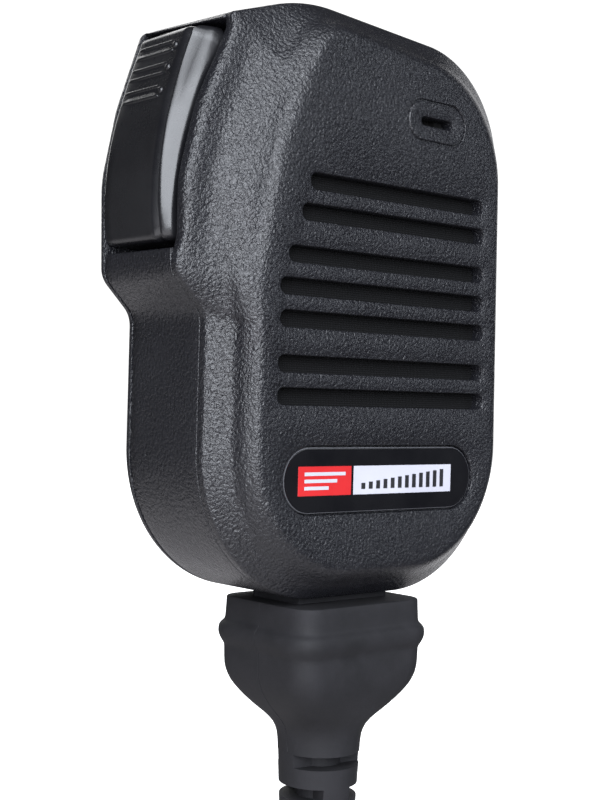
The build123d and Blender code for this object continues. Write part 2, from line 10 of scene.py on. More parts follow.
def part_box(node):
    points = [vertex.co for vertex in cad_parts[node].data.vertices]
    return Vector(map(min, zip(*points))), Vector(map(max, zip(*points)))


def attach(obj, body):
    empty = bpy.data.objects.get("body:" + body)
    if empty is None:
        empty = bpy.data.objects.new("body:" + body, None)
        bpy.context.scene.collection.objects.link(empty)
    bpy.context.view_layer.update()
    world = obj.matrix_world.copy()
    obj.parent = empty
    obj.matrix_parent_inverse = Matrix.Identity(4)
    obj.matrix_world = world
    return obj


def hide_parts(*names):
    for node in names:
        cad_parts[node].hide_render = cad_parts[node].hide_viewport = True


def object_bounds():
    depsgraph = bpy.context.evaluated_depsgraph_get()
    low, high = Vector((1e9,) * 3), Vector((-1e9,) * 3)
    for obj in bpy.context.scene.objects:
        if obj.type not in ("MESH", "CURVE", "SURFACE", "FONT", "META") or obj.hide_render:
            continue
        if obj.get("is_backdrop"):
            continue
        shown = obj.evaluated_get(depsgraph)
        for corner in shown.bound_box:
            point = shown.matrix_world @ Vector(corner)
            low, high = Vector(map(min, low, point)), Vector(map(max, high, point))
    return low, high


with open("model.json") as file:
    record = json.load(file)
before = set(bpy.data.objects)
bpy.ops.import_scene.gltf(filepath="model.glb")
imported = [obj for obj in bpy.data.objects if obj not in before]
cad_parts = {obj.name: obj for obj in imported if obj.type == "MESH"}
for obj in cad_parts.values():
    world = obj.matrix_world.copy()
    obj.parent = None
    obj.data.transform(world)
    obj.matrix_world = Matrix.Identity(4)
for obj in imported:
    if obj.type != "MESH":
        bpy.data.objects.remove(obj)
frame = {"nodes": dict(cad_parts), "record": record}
lo0, hi0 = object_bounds()
SIZE = {"cad_lo": list(lo0), "cad_hi": list(hi0)}
NODES = frame["nodes"]
REC = frame["record"]

D, C = 24.8, 8.0          # face frame (mm) to row frame: y - D, z - C


def row(p):
    return ((p[0]) / 1000.0, (p[1] - D) / 1000.0, (p[2] - C) / 1000.0)


# ------------------------------------------------------------------ outlines (same numbers as the CAD)
FACE = [(-24.3, -36.6, 18.0), (-24.5, -2.0, 10.0), (-24.7, 3.5, 10.0), (-22.8, 14.5, 30.0),
        (-20.9, 23.4, 25.0), (-17.3, 32.3, 12.0), (-13.3, 41.1, 6.5), (23.4, 37.1, 17.0),
        (24.4, -36.6, 18.0)]
RIM = [(-29.4, -41.0, 21.5), (-29.4, -0.5, 3.6), (-34.5, 4.6, 3.6), (-34.9, 17.5, 18.0),
       (-32.2, 28.6, 20.0), (-26.3, 41.0, 1.8), (-13.1, 45.4, 28.0), (29.4, 42.6, 17.5),
       (29.4, -41.0, 21.5)]
REAR = [(-29.4, -41.0, 21.5), (-29.4, -0.5, 3.6), (-34.5, 4.6, 3.6), (-34.9, 18.5, 18.0),
        (-32.75, 28.9, 20.0), (-28.75, 40.6, 1.6), (-13.4, 45.6, 28.0), (29.4, 42.8, 17.5),
        (29.4, -41.0, 21.5)]
Y_RIM, Y_SEAM, Y_REAR = 6.0, 7.2, 23.2
WALL, BAND_WALL, BACK_PLATE = 2.2, 2.0, 2.4
SLOT_H = 2.4
SLOTS = [(-16.1, 19.9, 18.5), (-17.5, 20.3, 14.1), (-19.7, 20.2, 8.1), (-21.1, 20.3, 3.6),
         (-21.0, 20.7, -0.9), (-21.2, 20.7, -7.1), (-21.2, 21.0, -11.6)]
BADGE = (-0.4, -23.3, 38.7, 9.8)
MIC = (9.0, 30.2)
MIC_RING = (12.6, 6.4)
MIC_SLIT = (6.6, 1.3)
PIN = (-31.4, 11.6)
PTT_OUT = [(-34.5, 9.0), (-35.1, 14.0), (-34.9, 20.0), (-33.9, 25.5), (-32.6, 30.0),
           (-31.1, 34.5), (-29.7, 38.3), (-29.0, 39.7)]
PTT_FRONT = [(-33.75, 9.0), (-33.8, 14.0), (-32.9, 21.0), (-31.5, 26.7), (-29.85, 31.7),
             (-27.65, 36.3), (-26.5, 38.4), (-25.9, 39.7)]
NOTCH = [(-28.4, 7.9), (-28.4, 16.0), (-22.8, 40.2)]
BOSSES = [(21.3, -19.5), (-21.3, -19.5), (19.6, 30.5), (-15.6, 34.6)]
CABLE_Y, CABLE_R = 13.0, 2.6


def corner_stops(corners):
    n = len(corners)
    out = []
    for i in range(n):
        x, z, r = corners[i]
        ax, az = corners[i - 1][0] - x, corners[i - 1][1] - z
        bx, bz = corners[(i + 1) % n][0] - x, corners[(i + 1) % n][1] - z
        la, lb = math.hypot(ax, az), math.hypot(bx, bz)
        ax, az, bx, bz = ax / la, az / la, bx / lb, bz / lb
        inner = math.acos(max(-1.0, min(1.0, ax * bx + az * bz)))
        t = r / math.tan(inner / 2)
        mx, mz = ax + bx, az + bz
        lm = math.hypot(mx, mz)
        d = r / math.sin(inner / 2)
        cx, cz = x + mx / lm * d, z + mz / lm * d
        a = (x + ax * t, z + az * t)
        b = (x + bx * t, z + bz * t)
        out.append((a, b, (cx, cz), r))
    return out


def counts_for(corners):
    st = corner_stops(corners)
    out = []
    for i, (a, b, c, r) in enumerate(st):
        a0 = math.atan2(a[1] - c[1], a[0] - c[0])
        a1 = math.atan2(b[1] - c[1], b[0] - c[0])
        sw = abs((a1 - a0 + math.pi) % (2 * math.pi) - math.pi)
        nx = st[(i + 1) % len(st)][0]
        ln = math.hypot(nx[0] - b[0], nx[1] - b[1])
        out.append((max(6, int(sw * r / 0.6) + 1), max(2, int(ln / 0.9) + 1)))
    return out


COUNTS = counts_for(RIM)


def outline(corners):
    st = corner_stops(corners)
    pts = []
    for i, (a, b, c, r) in enumerate(st):
        na, nl = COUNTS[i]
        a0 = math.atan2(a[1] - c[1], a[0] - c[0])
        a1 = math.atan2(b[1] - c[1], b[0] - c[0])
        sw = (a1 - a0 + math.pi) % (2 * math.pi) - math.pi
        for k in range(na + 1):
            t = a0 + sw * k / na
            pts.append((c[0] + r * math.cos(t), c[1] + r * math.sin(t)))
        nx = st[(i + 1) % len(st)][0]
        for k in range(1, nl):
            f = k / nl
            pts.append((b[0] + (nx[0] - b[0]) * f, b[1] + (nx[1] - b[1]) * f))
    return np.array(pts, float)


def normals2d(p):
    """Outward unit normals of a closed outline."""
    d = np.roll(p, -1, 0) - np.roll(p, 1, 0)
    n = np.stack([d[:, 1], -d[:, 0]], 1)
    n /= np.linalg.norm(n, axis=1)[:, None]
    area = np.sum(p[:, 0] * np.roll(p[:, 1], -1) - np.roll(p[:, 0], -1) * p[:, 1])
    return n if area > 0 else -n


PF, PR, PB = outline(FACE), outline(RIM), outline(REAR)
NF, NR, NB = normals2d(PF), normals2d(PR), normals2d(PB)
NP = len(PF)


def inset2d(p, n, t):
    """Moves an outline inwards by t along its normals."""
    q = p - n * t
    return q


def at_y(pts2, y):
    y = np.broadcast_to(np.asarray(y, float), (len(pts2),))
    return np.stack([pts2[:, 0], y, pts2[:, 1]], 1)


def smooth_profile(ctrl, count):
    """Catmull-Rom curve through the control points, evenly spaced by parameter."""
    c = np.array([(2 * ctrl[0][0] - ctrl[1][0], 2 * ctrl[0][1] - ctrl[1][1])] + list(ctrl) +
                 [(2 * ctrl[-1][0] - ctrl[-2][0], 2 * ctrl[-1][1] - ctrl[-2][1])], float)
    n = len(ctrl) - 1
    out = []
    for k in range(count):
        u = k / (count - 1) * n
        i = min(int(u), n - 1)
        t = u - i
        p0, p1, p2, p3 = c[i], c[i + 1], c[i + 2], c[i + 3]
        out.append(0.5 * ((2 * p1) + (-p0 + p2) * t + (2 * p0 - 5 * p1 + 4 * p2 - p3) * t * t +
                          (-p0 + 3 * p1 - 3 * p2 + p3) * t ** 3))
    return np.array(out)


def stadium(cx, cz, w, h, n=14, nl=10):
    r = h / 2
    pts = []
    for k in range(n + 1):
        t = -math.pi / 2 + math.pi * k / n
        pts.append((cx + w / 2 - r + r * math.cos(t), cz + r * math.sin(t)))
    for k in range(1, nl):
        pts.append((cx + w / 2 - r - (w - h) * k / nl, cz + r))
    for k in range(n + 1):
        t = math.pi / 2 + math.pi * k / n
        pts.append((cx - w / 2 + r + r * math.cos(t), cz + r * math.sin(t)))
    for k in range(1, nl):
        pts.append((cx - w / 2 + r + (w - h) * k / nl, cz - r))
    return np.array(pts)


def circle2(cx, cz, r, n=40):
    return np.array([(cx + r * math.cos(2 * math.pi * k / n), cz + r * math.sin(2 * math.pi * k / n))
                     for k in range(n)])


def inside(poly, pts):
    x, z = pts[:, 0], pts[:, 1]
    res = np.zeros(len(pts), bool)
    px, pz = poly[:, 0], poly[:, 1]
    qx, qz = np.roll(px, -1), np.roll(pz, -1)
    for a, b, c, d in zip(px, pz, qx, qz):
        hit = ((b > z) != (d > z)) & (x < (c - a) * (z - b) / (d - b + 1e-12) + a)
        res ^= hit
    return res


class Build:
    """Collects vertices (face frame, mm) and faces, then makes one object."""

    def __init__(self):
        self.v, self.f, self.m = [], [], []

    def loop(self, pts):
        s = len(self.v)
        self.v.extend([tuple(map(float, p)) for p in pts])
        return list(range(s, s + len(pts)))

    def bridge(self, a, b, mat=0, closed=True):
        n = len(a)
        for i in range(n if closed else n - 1):
            j = (i + 1) % n
            self.f.append((a[i], a[j], b[j], b[i]))
            self.m.append(mat)

    def rings(self, loops, mat=0):
        ids = [self.loop(p) for p in loops]
        for a, b in zip(ids, ids[1:]):
            self.bridge(a, b, mat)
        return ids

    def face(self, ids, mat=0):
        self.f.append(tuple(ids))
        self.m.append(mat)

    def cap(self, outer, holes=(), mat=0, axes=(0, 2)):
        """Fills between an outer loop and holes; all are index lists already in place."""
        loops = [list(outer)] + [list(h) for h in holes]
        ids = [i for lp in loops for i in lp]
        co = [Vector((self.v[i][axes[0]], self.v[i][axes[1]])) for i in ids]
        edges, s = [], 0
        for lp in loops:
            n = len(lp)
            edges += [(s + k, s + (k + 1) % n) for k in range(n)]
            s += n
        vs, es, fs, ov, oe, of_ = delaunay_2d_cdt(co, edges, [], 1, 1e-7)
        base_y = self.v[outer[0]]
        remap = {}
        for k, o in enumerate(ov):
            if o:
                remap[k] = ids[o[0]]
            else:
                p = list(base_y)
                p[axes[0]], p[axes[1]] = vs[k].x, vs[k].y
                self.v.append(tuple(p))
                remap[k] = len(self.v) - 1
        polys = [np.array([(self.v[i][axes[0]], self.v[i][axes[1]]) for i in lp]) for lp in loops]
        tri = [t for t in fs if len(set(remap[q] for q in t)) == 3]
        if not tri:
            return
        cen = np.array([np.mean([(vs[q].x, vs[q].y) for q in t], axis=0) for t in tri])
        ok = inside(polys[0], cen)
        for hp in polys[1:]:
            ok &= ~inside(hp, cen)
        for t, k in zip(tri, ok):
            if k:
                self.f.append(tuple(remap[q] for q in t))
                self.m.append(mat)

    def make(self, name, mats, angle=32.0, doubles=1e-6):
        me = bpy.data.meshes.new(name)
        me.from_pydata([row(p) for p in self.v], [], self.f)
        for m in mats:
            me.materials.append(m)
        me.polygons.foreach_set("material_index", self.m)
        me.validate()
        bm = bmesh.new()
        bm.from_mesh(me)
        bmesh.ops.remove_doubles(bm, verts=bm.verts, dist=doubles)
        bmesh.ops.recalc_face_normals(bm, faces=bm.faces)
        bm.to_mesh(me)
        bm.free()
        me.shade_smooth()
        me.set_sharp_from_angle(angle=math.radians(angle))
        ob = bpy.data.objects.new(name, me)
        bpy.context.scene.collection.objects.link(ob)
        return ob


def boolean(ob, cutter, op="DIFFERENCE", keep=False):
    """Exact boolean, applied to ob's mesh at once."""
    mod = ob.modifiers.new("b", "BOOLEAN")
    mod.operation = op
    mod.solver = "EXACT"
    mod.object = cutter
    dg = bpy.context.evaluated_depsgraph_get()
    me = bpy.data.meshes.new_from_object(ob.evaluated_get(dg), depsgraph=dg)
    ob.modifiers.clear()
    old = ob.data
    ob.data = me
    bpy.data.meshes.remove(old)
    if not keep:
        bpy.data.objects.remove(cutter)
    return ob


def solid_box(x0, x1, y0, y1, z0, z1):
    b = Build()
    lo = b.loop([(x0, y0, z0), (x1, y0, z0), (x1, y1, z0), (x0, y1, z0)])
    hi = b.loop([(x0, y0, z1), (x1, y0, z1), (x1, y1, z1), (x0, y1, z1)])
    b.bridge(lo, hi)
    b.face(lo)
    b.face(hi)
    return b.make("cut", [])


def solid_rod(p, axis, r, a, b_, n=40):
    """Cylinder along axis 0/1/2 from a to b_, centred at p (the two other coordinates in order)."""
    b = Build()
    o = [i for i in (0, 1, 2) if i != axis]
    loops = []
    for t in (a, b_):
        pts = []
        for k in range(n):
            q = [0, 0, 0]
            q[axis] = t
            q[o[0]] = p[0] + r * math.cos(2 * math.pi * k / n)
            q[o[1]] = p[1] + r * math.sin(2 * math.pi * k / n)
            pts.append(q)
        loops.append(b.loop(pts))
    b.bridge(*loops)
    b.face(loops[0])
    b.face(loops[1])
    return b.make("cut", [])


# ------------------------------------------------------------------ materials
def node(nt, kind, **values):
    n = nt.nodes.new(kind)
    for k, v in values.items():
        setattr(n, k, v)
    return n


def ramp(nt, source, stops):
    r = nt.nodes.new("ShaderNodeValToRGB")
    el = r.color_ramp.elements
    while len(el) > 1:
        el.remove(el[-1])
    el[0].position = stops[0][0]
    el[0].color = tuple(stops[0][1]) + (1.0,)
    for pos, col in stops[1:]:
        e = el.new(pos)
        e.color = tuple(col) + (1.0,)
    nt.links.new(source, r.inputs[0])
    return r.outputs[0]


def grey(*pairs):
    return [(p, (v, v, v)) for p, v in pairs]


def math_node(nt, op, a, b):
    m = nt.nodes.new("ShaderNodeMath")
    m.operation = op
    for i, s in enumerate((a, b)):
        if isinstance(s, (int, float)):
            m.inputs[i].default_value = s
        else:
            nt.links.new(s, m.inputs[i])
    return m.outputs[0]


def noise(nt, vec, size_mm, detail=2.0, rough=0.5, dist=0.0):
    n = nt.nodes.new("ShaderNodeTexNoise")
    n.inputs["Scale"].default_value = 1000.0 / size_mm
    n.inputs["Detail"].default_value = detail
    n.inputs["Roughness"].default_value = rough
    n.inputs["Distortion"].default_value = dist
    nt.links.new(vec, n.inputs["Vector"])
    return n.outputs[0]


def cells(nt, vec, size_mm, feature="SMOOTH_F1"):
    n = nt.nodes.new("ShaderNodeTexVoronoi")
    n.feature = feature
    n.inputs["Scale"].default_value = 1000.0 / size_mm
    if feature == "SMOOTH_F1":
        n.inputs["Smoothness"].default_value = 0.6
    nt.links.new(vec, n.inputs["Vector"])
    return n.outputs["Distance"]


def start(name):
    m = bpy.data.materials.new(name)
    m.use_nodes = True
    nt = m.node_tree
    bsdf = nt.nodes["Principled BSDF"]
    tc = nt.nodes.new("ShaderNodeTexCoord")
    return m, nt, bsdf, tc.outputs["Object"]


def bump(nt, bsdf, height, dist_mm, strength=1.0):
    b = nt.nodes.new("ShaderNodeBump")
    b.inputs["Strength"].default_value = strength
    b.inputs["Distance"].default_value = dist_mm / 1000.0
    nt.links.new(height, b.inputs["Height"])
    nt.links.new(b.outputs[0], bsdf.inputs["Normal"])


def colour(nt, bsdf, source, dark, light, lo=0.3, hi=0.7):
    nt.links.new(ramp(nt, source, [(lo, dark), (hi, light)]), bsdf.inputs["Base Color"])


def roughness(nt, bsdf, source, a, b, lo=0.3, hi=0.7):
    nt.links.new(ramp(nt, source, grey((lo, a), (hi, b))), bsdf.inputs["Roughness"])


def spark_plastic(name, dark, light, rough, depth, grain=0.62, tint=0.0):
    """Moulded ABS with a spark-eroded pebble grain."""
    m, nt, bsdf, vec = start(name)
    big = noise(nt, vec, grain, 2.0, 0.55, 0.35)
    blob = ramp(nt, big, grey((0.30, 0.0), (0.50, 0.55), (0.70, 1.0)))
    cel = cells(nt, vec, grain * 1.15)
    pit = ramp(nt, cel, grey((0.05, 1.0), (0.75, 0.0)))
    fine = noise(nt, vec, grain * 0.28, 2.0, 0.6)
    h = math_node(nt, "ADD", math_node(nt, "MULTIPLY", blob, 0.70), math_node(nt, "MULTIPLY", pit, 0.30))
    h = math_node(nt, "ADD", h, math_node(nt, "MULTIPLY", fine, 0.30))
    bump(nt, bsdf, h, depth, 1.0)
    wide = noise(nt, vec, 14.0, 3.0, 0.5)
    colour(nt, bsdf, math_node(nt, "ADD", math_node(nt, "MULTIPLY", blob, 0.5), math_node(nt, "MULTIPLY", wide, 0.5)),
           dark, light, 0.2, 0.8)
    rr = math_node(nt, "ADD", math_node(nt, "MULTIPLY", fine, 0.6), math_node(nt, "MULTIPLY", wide, 0.4))
    roughness(nt, bsdf, rr, rough - 0.06, rough + 0.08)
    bsdf.inputs["Specular IOR Level"].default_value = 0.5
    return m


def satin_plastic(name, dark, light, rough, depth=0.004, spec=0.5):
    m, nt, bsdf, vec = start(name)
    fine = noise(nt, vec, 0.25, 3.0, 0.6)
    wide = noise(nt, vec, 9.0, 4.0, 0.55)
    scuff = noise(nt, vec, 1.6, 6.0, 0.7, 0.8)
    colour(nt, bsdf, wide, dark, light)
    roughness(nt, bsdf, math_node(nt, "ADD", math_node(nt, "MULTIPLY", wide, 0.6), math_node(nt, "MULTIPLY", scuff, 0.4)),
              rough - 0.04, rough + 0.06)
    bump(nt, bsdf, fine, depth, 1.0)
    bsdf.inputs["Specular IOR Level"].default_value = spec
    return m


def rubber(name, dark, light, rough, depth=0.012, grain=0.35, spec=0.35):
    m, nt, bsdf, vec = start(name)
    fine = noise(nt, vec, grain, 4.0, 0.65)
    wide = noise(nt, vec, 7.0, 5.0, 0.6)
    dust = noise(nt, vec, 1.2, 8.0, 0.7)
    colour(nt, bsdf, math_node(nt, "ADD", math_node(nt, "MULTIPLY", wide, 0.65), math_node(nt, "MULTIPLY", dust, 0.35)),
           dark, light, 0.3, 0.72)
    roughness(nt, bsdf, wide, rough - 0.05, rough + 0.06)
    bump(nt, bsdf, fine, depth, 1.0)
    bsdf.inputs["Specular IOR Level"].default_value = spec
    return m


def metal(name, dark, light, rough, brushed=False, depth=0.002):
    m, nt, bsdf, vec = start(name)
    bsdf.inputs["Metallic"].default_value = 1.0
    if brushed:
        mp = nt.nodes.new("ShaderNodeMapping")
        mp.inputs["Scale"].default_value = (0.06, 1.0, 1.0)
        nt.links.new(vec, mp.inputs["Vector"])
        src = noise(nt, mp.outputs[0], 0.12, 4.0, 0.7)
    else:
        src = noise(nt, vec, 0.5, 5.0, 0.65)
    wide = noise(nt, vec, 5.0, 4.0, 0.6)
    colour(nt, bsdf, wide, dark, light)
    roughness(nt, bsdf, math_node(nt, "ADD", math_node(nt, "MULTIPLY", src, 0.6), math_node(nt, "MULTIPLY", wide, 0.4)),
              rough - 0.07, rough + 0.1)
    bump(nt, bsdf, src, depth, 0.8)
    return m


def painted(name, dark, light, rough, depth=0.01, grain=0.3):
    m, nt, bsdf, vec = start(name)
    fine = noise(nt, vec, grain, 3.0, 0.6)
    wide = noise(nt, vec, 6.0, 4.0, 0.6)
    colour(nt, bsdf, wide, dark, light)
    roughness(nt, bsdf, fine, rough - 0.05, rough + 0.08)
    bump(nt, bsdf, fine, depth, 1.0)
    return m


def woven(name, dark, light):
    m, nt, bsdf, vec = start(name)
    w1 = nt.nodes.new("ShaderNodeTexWave")
    w1.wave_type, w1.bands_direction = "BANDS", "X"
    w1.inputs["Scale"].default_value = 1000.0 / 0.5 / 6.2832 * 3.14159
    w2 = nt.nodes.new("ShaderNodeTexWave")
    w2.wave_type, w2.bands_direction = "BANDS", "Z"
    w2.inputs["Scale"].default_value = 1000.0 / 0.5 / 6.2832 * 3.14159
    for w in (w1, w2):
        w.inputs["Distortion"].default_value = 0.6
        nt.links.new(vec, w.inputs["Vector"])
    h = math_node(nt, "MULTIPLY", w1.outputs["Fac"], w2.outputs["Fac"])
    fuzz = noise(nt, vec, 0.2, 3.0, 0.6)
    h2 = math_node(nt, "ADD", h, math_node(nt, "MULTIPLY", fuzz, 0.3))
    colour(nt, bsdf, h2, dark, light, 0.1, 0.9)
    roughness(nt, bsdf, fuzz, 0.85, 0.97)
    bump(nt, bsdf, h2, 0.05, 1.0)
    bsdf.inputs["Specular IOR Level"].default_value = 0.12
    return m


def board_mat(name):
    m, nt, bsdf, vec = start(name)
    tr = cells(nt, vec, 1.6, "DISTANCE_TO_EDGE")
    line = ramp(nt, tr, grey((0.02, 1.0), (0.06, 0.0)))
    wide = noise(nt, vec, 5.0, 3.0, 0.5)
    col = ramp(nt, math_node(nt, "ADD", math_node(nt, "MULTIPLY", line, 0.6), math_node(nt, "MULTIPLY", wide, 0.4)),
               [(0.1, (0.006, 0.06, 0.025)), (0.9, (0.03, 0.16, 0.07))])
    nt.links.new(col, bsdf.inputs["Base Color"])
    roughness(nt, bsdf, wide, 0.28, 0.4)
    bump(nt, bsdf, line, 0.02, 1.0)
    return m


M = {
    "case_plastic": spark_plastic("case_plastic", (0.005, 0.005, 0.0065), (0.012, 0.0122, 0.0148), 0.25, 0.155, 0.46),
    "back_plastic": spark_plastic("back_plastic", (0.005, 0.005, 0.0065), (0.012, 0.0122, 0.0148), 0.27, 0.14, 0.46),
    "button_plastic": satin_plastic("button_plastic", (0.004, 0.004, 0.005), (0.008, 0.008, 0.0092), 0.27),
    "badge": satin_plastic("badge", (0.004, 0.004, 0.005), (0.007, 0.007, 0.008), 0.14, 0.001, 0.16),
    "cloth": woven("cloth", (0.003, 0.003, 0.003), (0.011, 0.011, 0.012)),
    "boot_rubber": rubber("boot_rubber", (0.008, 0.008, 0.009), (0.016, 0.0155, 0.0178), 0.72, 0.030, 0.34, 0.25),
    "seal_rubber": rubber("seal_rubber", (0.006, 0.006, 0.006), (0.012, 0.012, 0.012), 0.8, 0.012, 0.35, 0.15),
    "foam": rubber("foam", (0.02, 0.02, 0.02), (0.05, 0.05, 0.05), 0.9, 0.06, 0.4),
    "steel": metal("steel", (0.42, 0.42, 0.43), (0.6, 0.6, 0.6), 0.3, True),
    "screw_black": painted("screw_black", (0.012, 0.012, 0.013), (0.03, 0.03, 0.032), 0.36, 0.004, 0.2),
    "clip_steel": painted("clip_steel", (0.014, 0.014, 0.015), (0.026, 0.026, 0.028), 0.44, 0.014, 0.28),
    "clip_plastic": spark_plastic("clip_plastic", (0.012, 0.012, 0.013), (0.022, 0.022, 0.024), 0.46, 0.03, 0.3),
    "spring_steel": metal("spring_steel", (0.5, 0.5, 0.5), (0.68, 0.68, 0.67), 0.22, True),
    "magnet": metal("magnet", (0.25, 0.25, 0.27), (0.4, 0.4, 0.42), 0.34),
    "paper_cone": rubber("paper_cone", (0.018, 0.017, 0.016), (0.035, 0.034, 0.032), 0.85, 0.03, 0.5),
    "board": board_mat("board"),
    "components": satin_plastic("components", (0.012, 0.012, 0.013), (0.03, 0.03, 0.032), 0.4),
    "switch_plastic": satin_plastic("switch_plastic", (0.1, 0.1, 0.1), (0.16, 0.16, 0.16), 0.42),
    "aluminium": metal("aluminium", (0.6, 0.6, 0.61), (0.75, 0.75, 0.76), 0.28, True),
}
# Lighter grey on the badge plate's rim and sides: a painted highlight, standing in for the light line the lamps put
# along the rim edge.
M_RIM_PAINTED_HIGHLIGHT = satin_plastic("badge_rim_painted_highlight", (0.06, 0.06, 0.066), (0.09, 0.09, 0.098), 0.3)
M_RED = satin_plastic("badge_red", (0.40, 0.014, 0.016), (0.46, 0.020, 0.022), 0.3, 0.001, 0.25)
M_PALE = satin_plastic("badge_pale", (0.38, 0.38, 0.43), (0.43, 0.43, 0.48), 0.3, 0.001, 0.25)
M_INK = satin_plastic("badge_ink", (0.008, 0.008, 0.010), (0.014, 0.014, 0.016), 0.3, 0.001)

SLOT_OF = {s["node"]: s["material_slot"] for s in REC["subparts"]}
for name, ob in NODES.items():
    ob.data.materials.clear()
    ob.data.materials.append(M[SLOT_OF[name]])

def capsule_mat():
    """Aluminium can with black felt over its front."""
    m, nt, bsdf, vec = start("mic_can")
    lo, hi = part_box("mic_capsule")
    sep = nt.nodes.new("ShaderNodeSeparateXYZ")
    nt.links.new(vec, sep.inputs[0])
    g = math_node(nt, "GREATER_THAN", sep.outputs[1], lo.y + 0.0006)
    fine = noise(nt, vec, 0.2, 4.0, 0.7)
    c1 = ramp(nt, fine, [(0.3, (0.002, 0.002, 0.002)), (0.7, (0.008, 0.008, 0.008))])
    mx = nt.nodes.new("ShaderNodeMixRGB")
    nt.links.new(g, mx.inputs[0])
    nt.links.new(c1, mx.inputs[1])
    mx.inputs[2].default_value = (0.6, 0.6, 0.61, 1)
    nt.links.new(mx.outputs[0], bsdf.inputs["Base Color"])
    nt.links.new(g, bsdf.inputs["Metallic"])
    nt.links.new(ramp(nt, g, grey((0.0, 0.95), (1.0, 0.3))), bsdf.inputs["Roughness"])
    bump(nt, bsdf, fine, 0.03, 1.0)
    return m


NODES["mic_capsule"].data.materials[0] = capsule_mat()

BODY_OF = {}
for body, members in REC["behaviour"]["bodies"].items():
    for n in members:
        BODY_OF[n] = body


def stand_for(ob, node_name):
    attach(ob, BODY_OF[node_name])
    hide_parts(node_name)
    return ob


def resharp(ob, angle=32.0):
    ob.data.shade_smooth()
    ob.data.set_sharp_from_angle(angle=math.radians(angle))
    return ob


def softened(node_name, width_mm, segments=2, angle=28.0, mats=None):
    """A copy of a CAD node with small rounded edges, which stands for it."""
    src = NODES[node_name]
    me = src.data.copy()
    bm = bmesh.new()
    bm.from_mesh(me)
    bmesh.ops.remove_doubles(bm, verts=bm.verts, dist=2e-6)
    bmesh.ops.dissolve_limit(bm, angle_limit=math.radians(1.0), verts=bm.verts, edges=bm.edges)
    bmesh.ops.recalc_face_normals(bm, faces=bm.faces)
    bm.to_mesh(me)
    bm.free()
    me.materials.clear()
    for m in (mats or [M[SLOT_OF[node_name]]]):
        me.materials.append(m)
    ob = bpy.data.objects.new(node_name + "_soft", me)
    bpy.context.scene.collection.objects.link(ob)
    mod = ob.modifiers.new("e", "BEVEL")
    mod.width = width_mm / 1000.0
    mod.segments = segments
    mod.limit_method = "ANGLE"
    mod.angle_limit = math.radians(angle)
    mod.use_clamp_overlap = True
    mod.harden_normals = False
    dg = bpy.context.evaluated_depsgraph_get()
    new = bpy.data.meshes.new_from_object(ob.evaluated_get(dg), depsgraph=dg)
    ob.modifiers.clear()
    ob.data = new
    resharp(ob, 40.0)
    return stand_for(ob, node_name)


# ------------------------------------------------------------------ front case
K = 44
S_CTRL = [(-0.32, 0.0), (-0.18, 0.003), (-0.06, 0.022), (0.05, 0.085), (0.15, 0.180), (0.235, 0.29),
          (0.29, 0.40), (0.33, 0.50), (0.385, 0.585), (0.48, 0.655), (0.60, 0.735), (0.73, 0.815),
          (0.85, 0.892), (0.94, 0.952), (0.985, 0.995), (1.0, 1.05)]
P_CTRL = [(-0.26, 0.0), (-0.16, 0.004), (-0.06, 0.022), (0.05, 0.085), (0.15, 0.175), (0.25, 0.270),
          (0.35, 0.365), (0.45, 0.460), (0.54, 0.545), (0.63, 0.630), (0.72, 0.715), (0.81, 0.800),
          (0.89, 0.875), (0.955, 0.942), (0.99, 0.99), (1.0, 1.05)]
H_CTRL = [(-0.16, 0.0), (-0.09, 0.004), (-0.03, 0.025), (0.02, 0.07), (0.07, 0.145), (0.13, 0.205), (0.21, 0.275),
          (0.29, 0.37), (0.37, 0.475), (0.45, 0.585), (0.525, 0.69), (0.60, 0.775), (0.69, 0.815), (0.80, 0.845),
          (0.865, 0.90), (0.90, 0.985), (0.91, 1.08)]
PS, PP, PH = (smooth_profile(c, K) for c in (S_CTRL, P_CTRL, H_CTRL))


def smoothstep(x, a, b):
    t = np.clip((x - a) / (b - a), 0, 1)
    return t * t * (3 - 2 * t)


xm, zm = (PF[:, 0] + PR[:, 0]) / 2, (PF[:, 1] + PR[:, 1]) / 2
left = 1 - smoothstep(xm, -22.0, -8.0)
w_s = left * (0.25 + 0.75 * smoothstep(zm, -36.0, -24.0))
w_s = np.maximum(w_s, 0.35)
w_edge = (1 - smoothstep(xm, -24.0, -17.0)) * smoothstep(PR[:, 1], 5.5, 10.5) * (1 - smoothstep(PR[:, 1], 39.6, 41.2))
step_ = np.hypot(*(np.roll(PR, -1, 0) - PR).T)


def blurred(w, sigma):
    """Gaussian average along the closed rim outline, sigma in mm."""
    s = np.r_[0, np.cumsum(step_)[:-1]]
    total = step_.sum()
    wt = (step_ + np.roll(step_, 1)) / 2
    d = np.abs(s[:, None] - s[None, :])
    d = np.minimum(d, total - d)
    g = np.exp(-0.5 * (d / sigma) ** 2) * wt[None, :]
    return (g * w[None, :]).sum(1) / g.sum(1)


w_soft = blurred((1 - smoothstep(xm, -25.0, -15.0)) * smoothstep(PR[:, 1], 4.0, 12.0) * (1 - smoothstep(PR[:, 1], 38.5, 44.0)), 2.6)
w_s = blurred(w_s, 3.0)

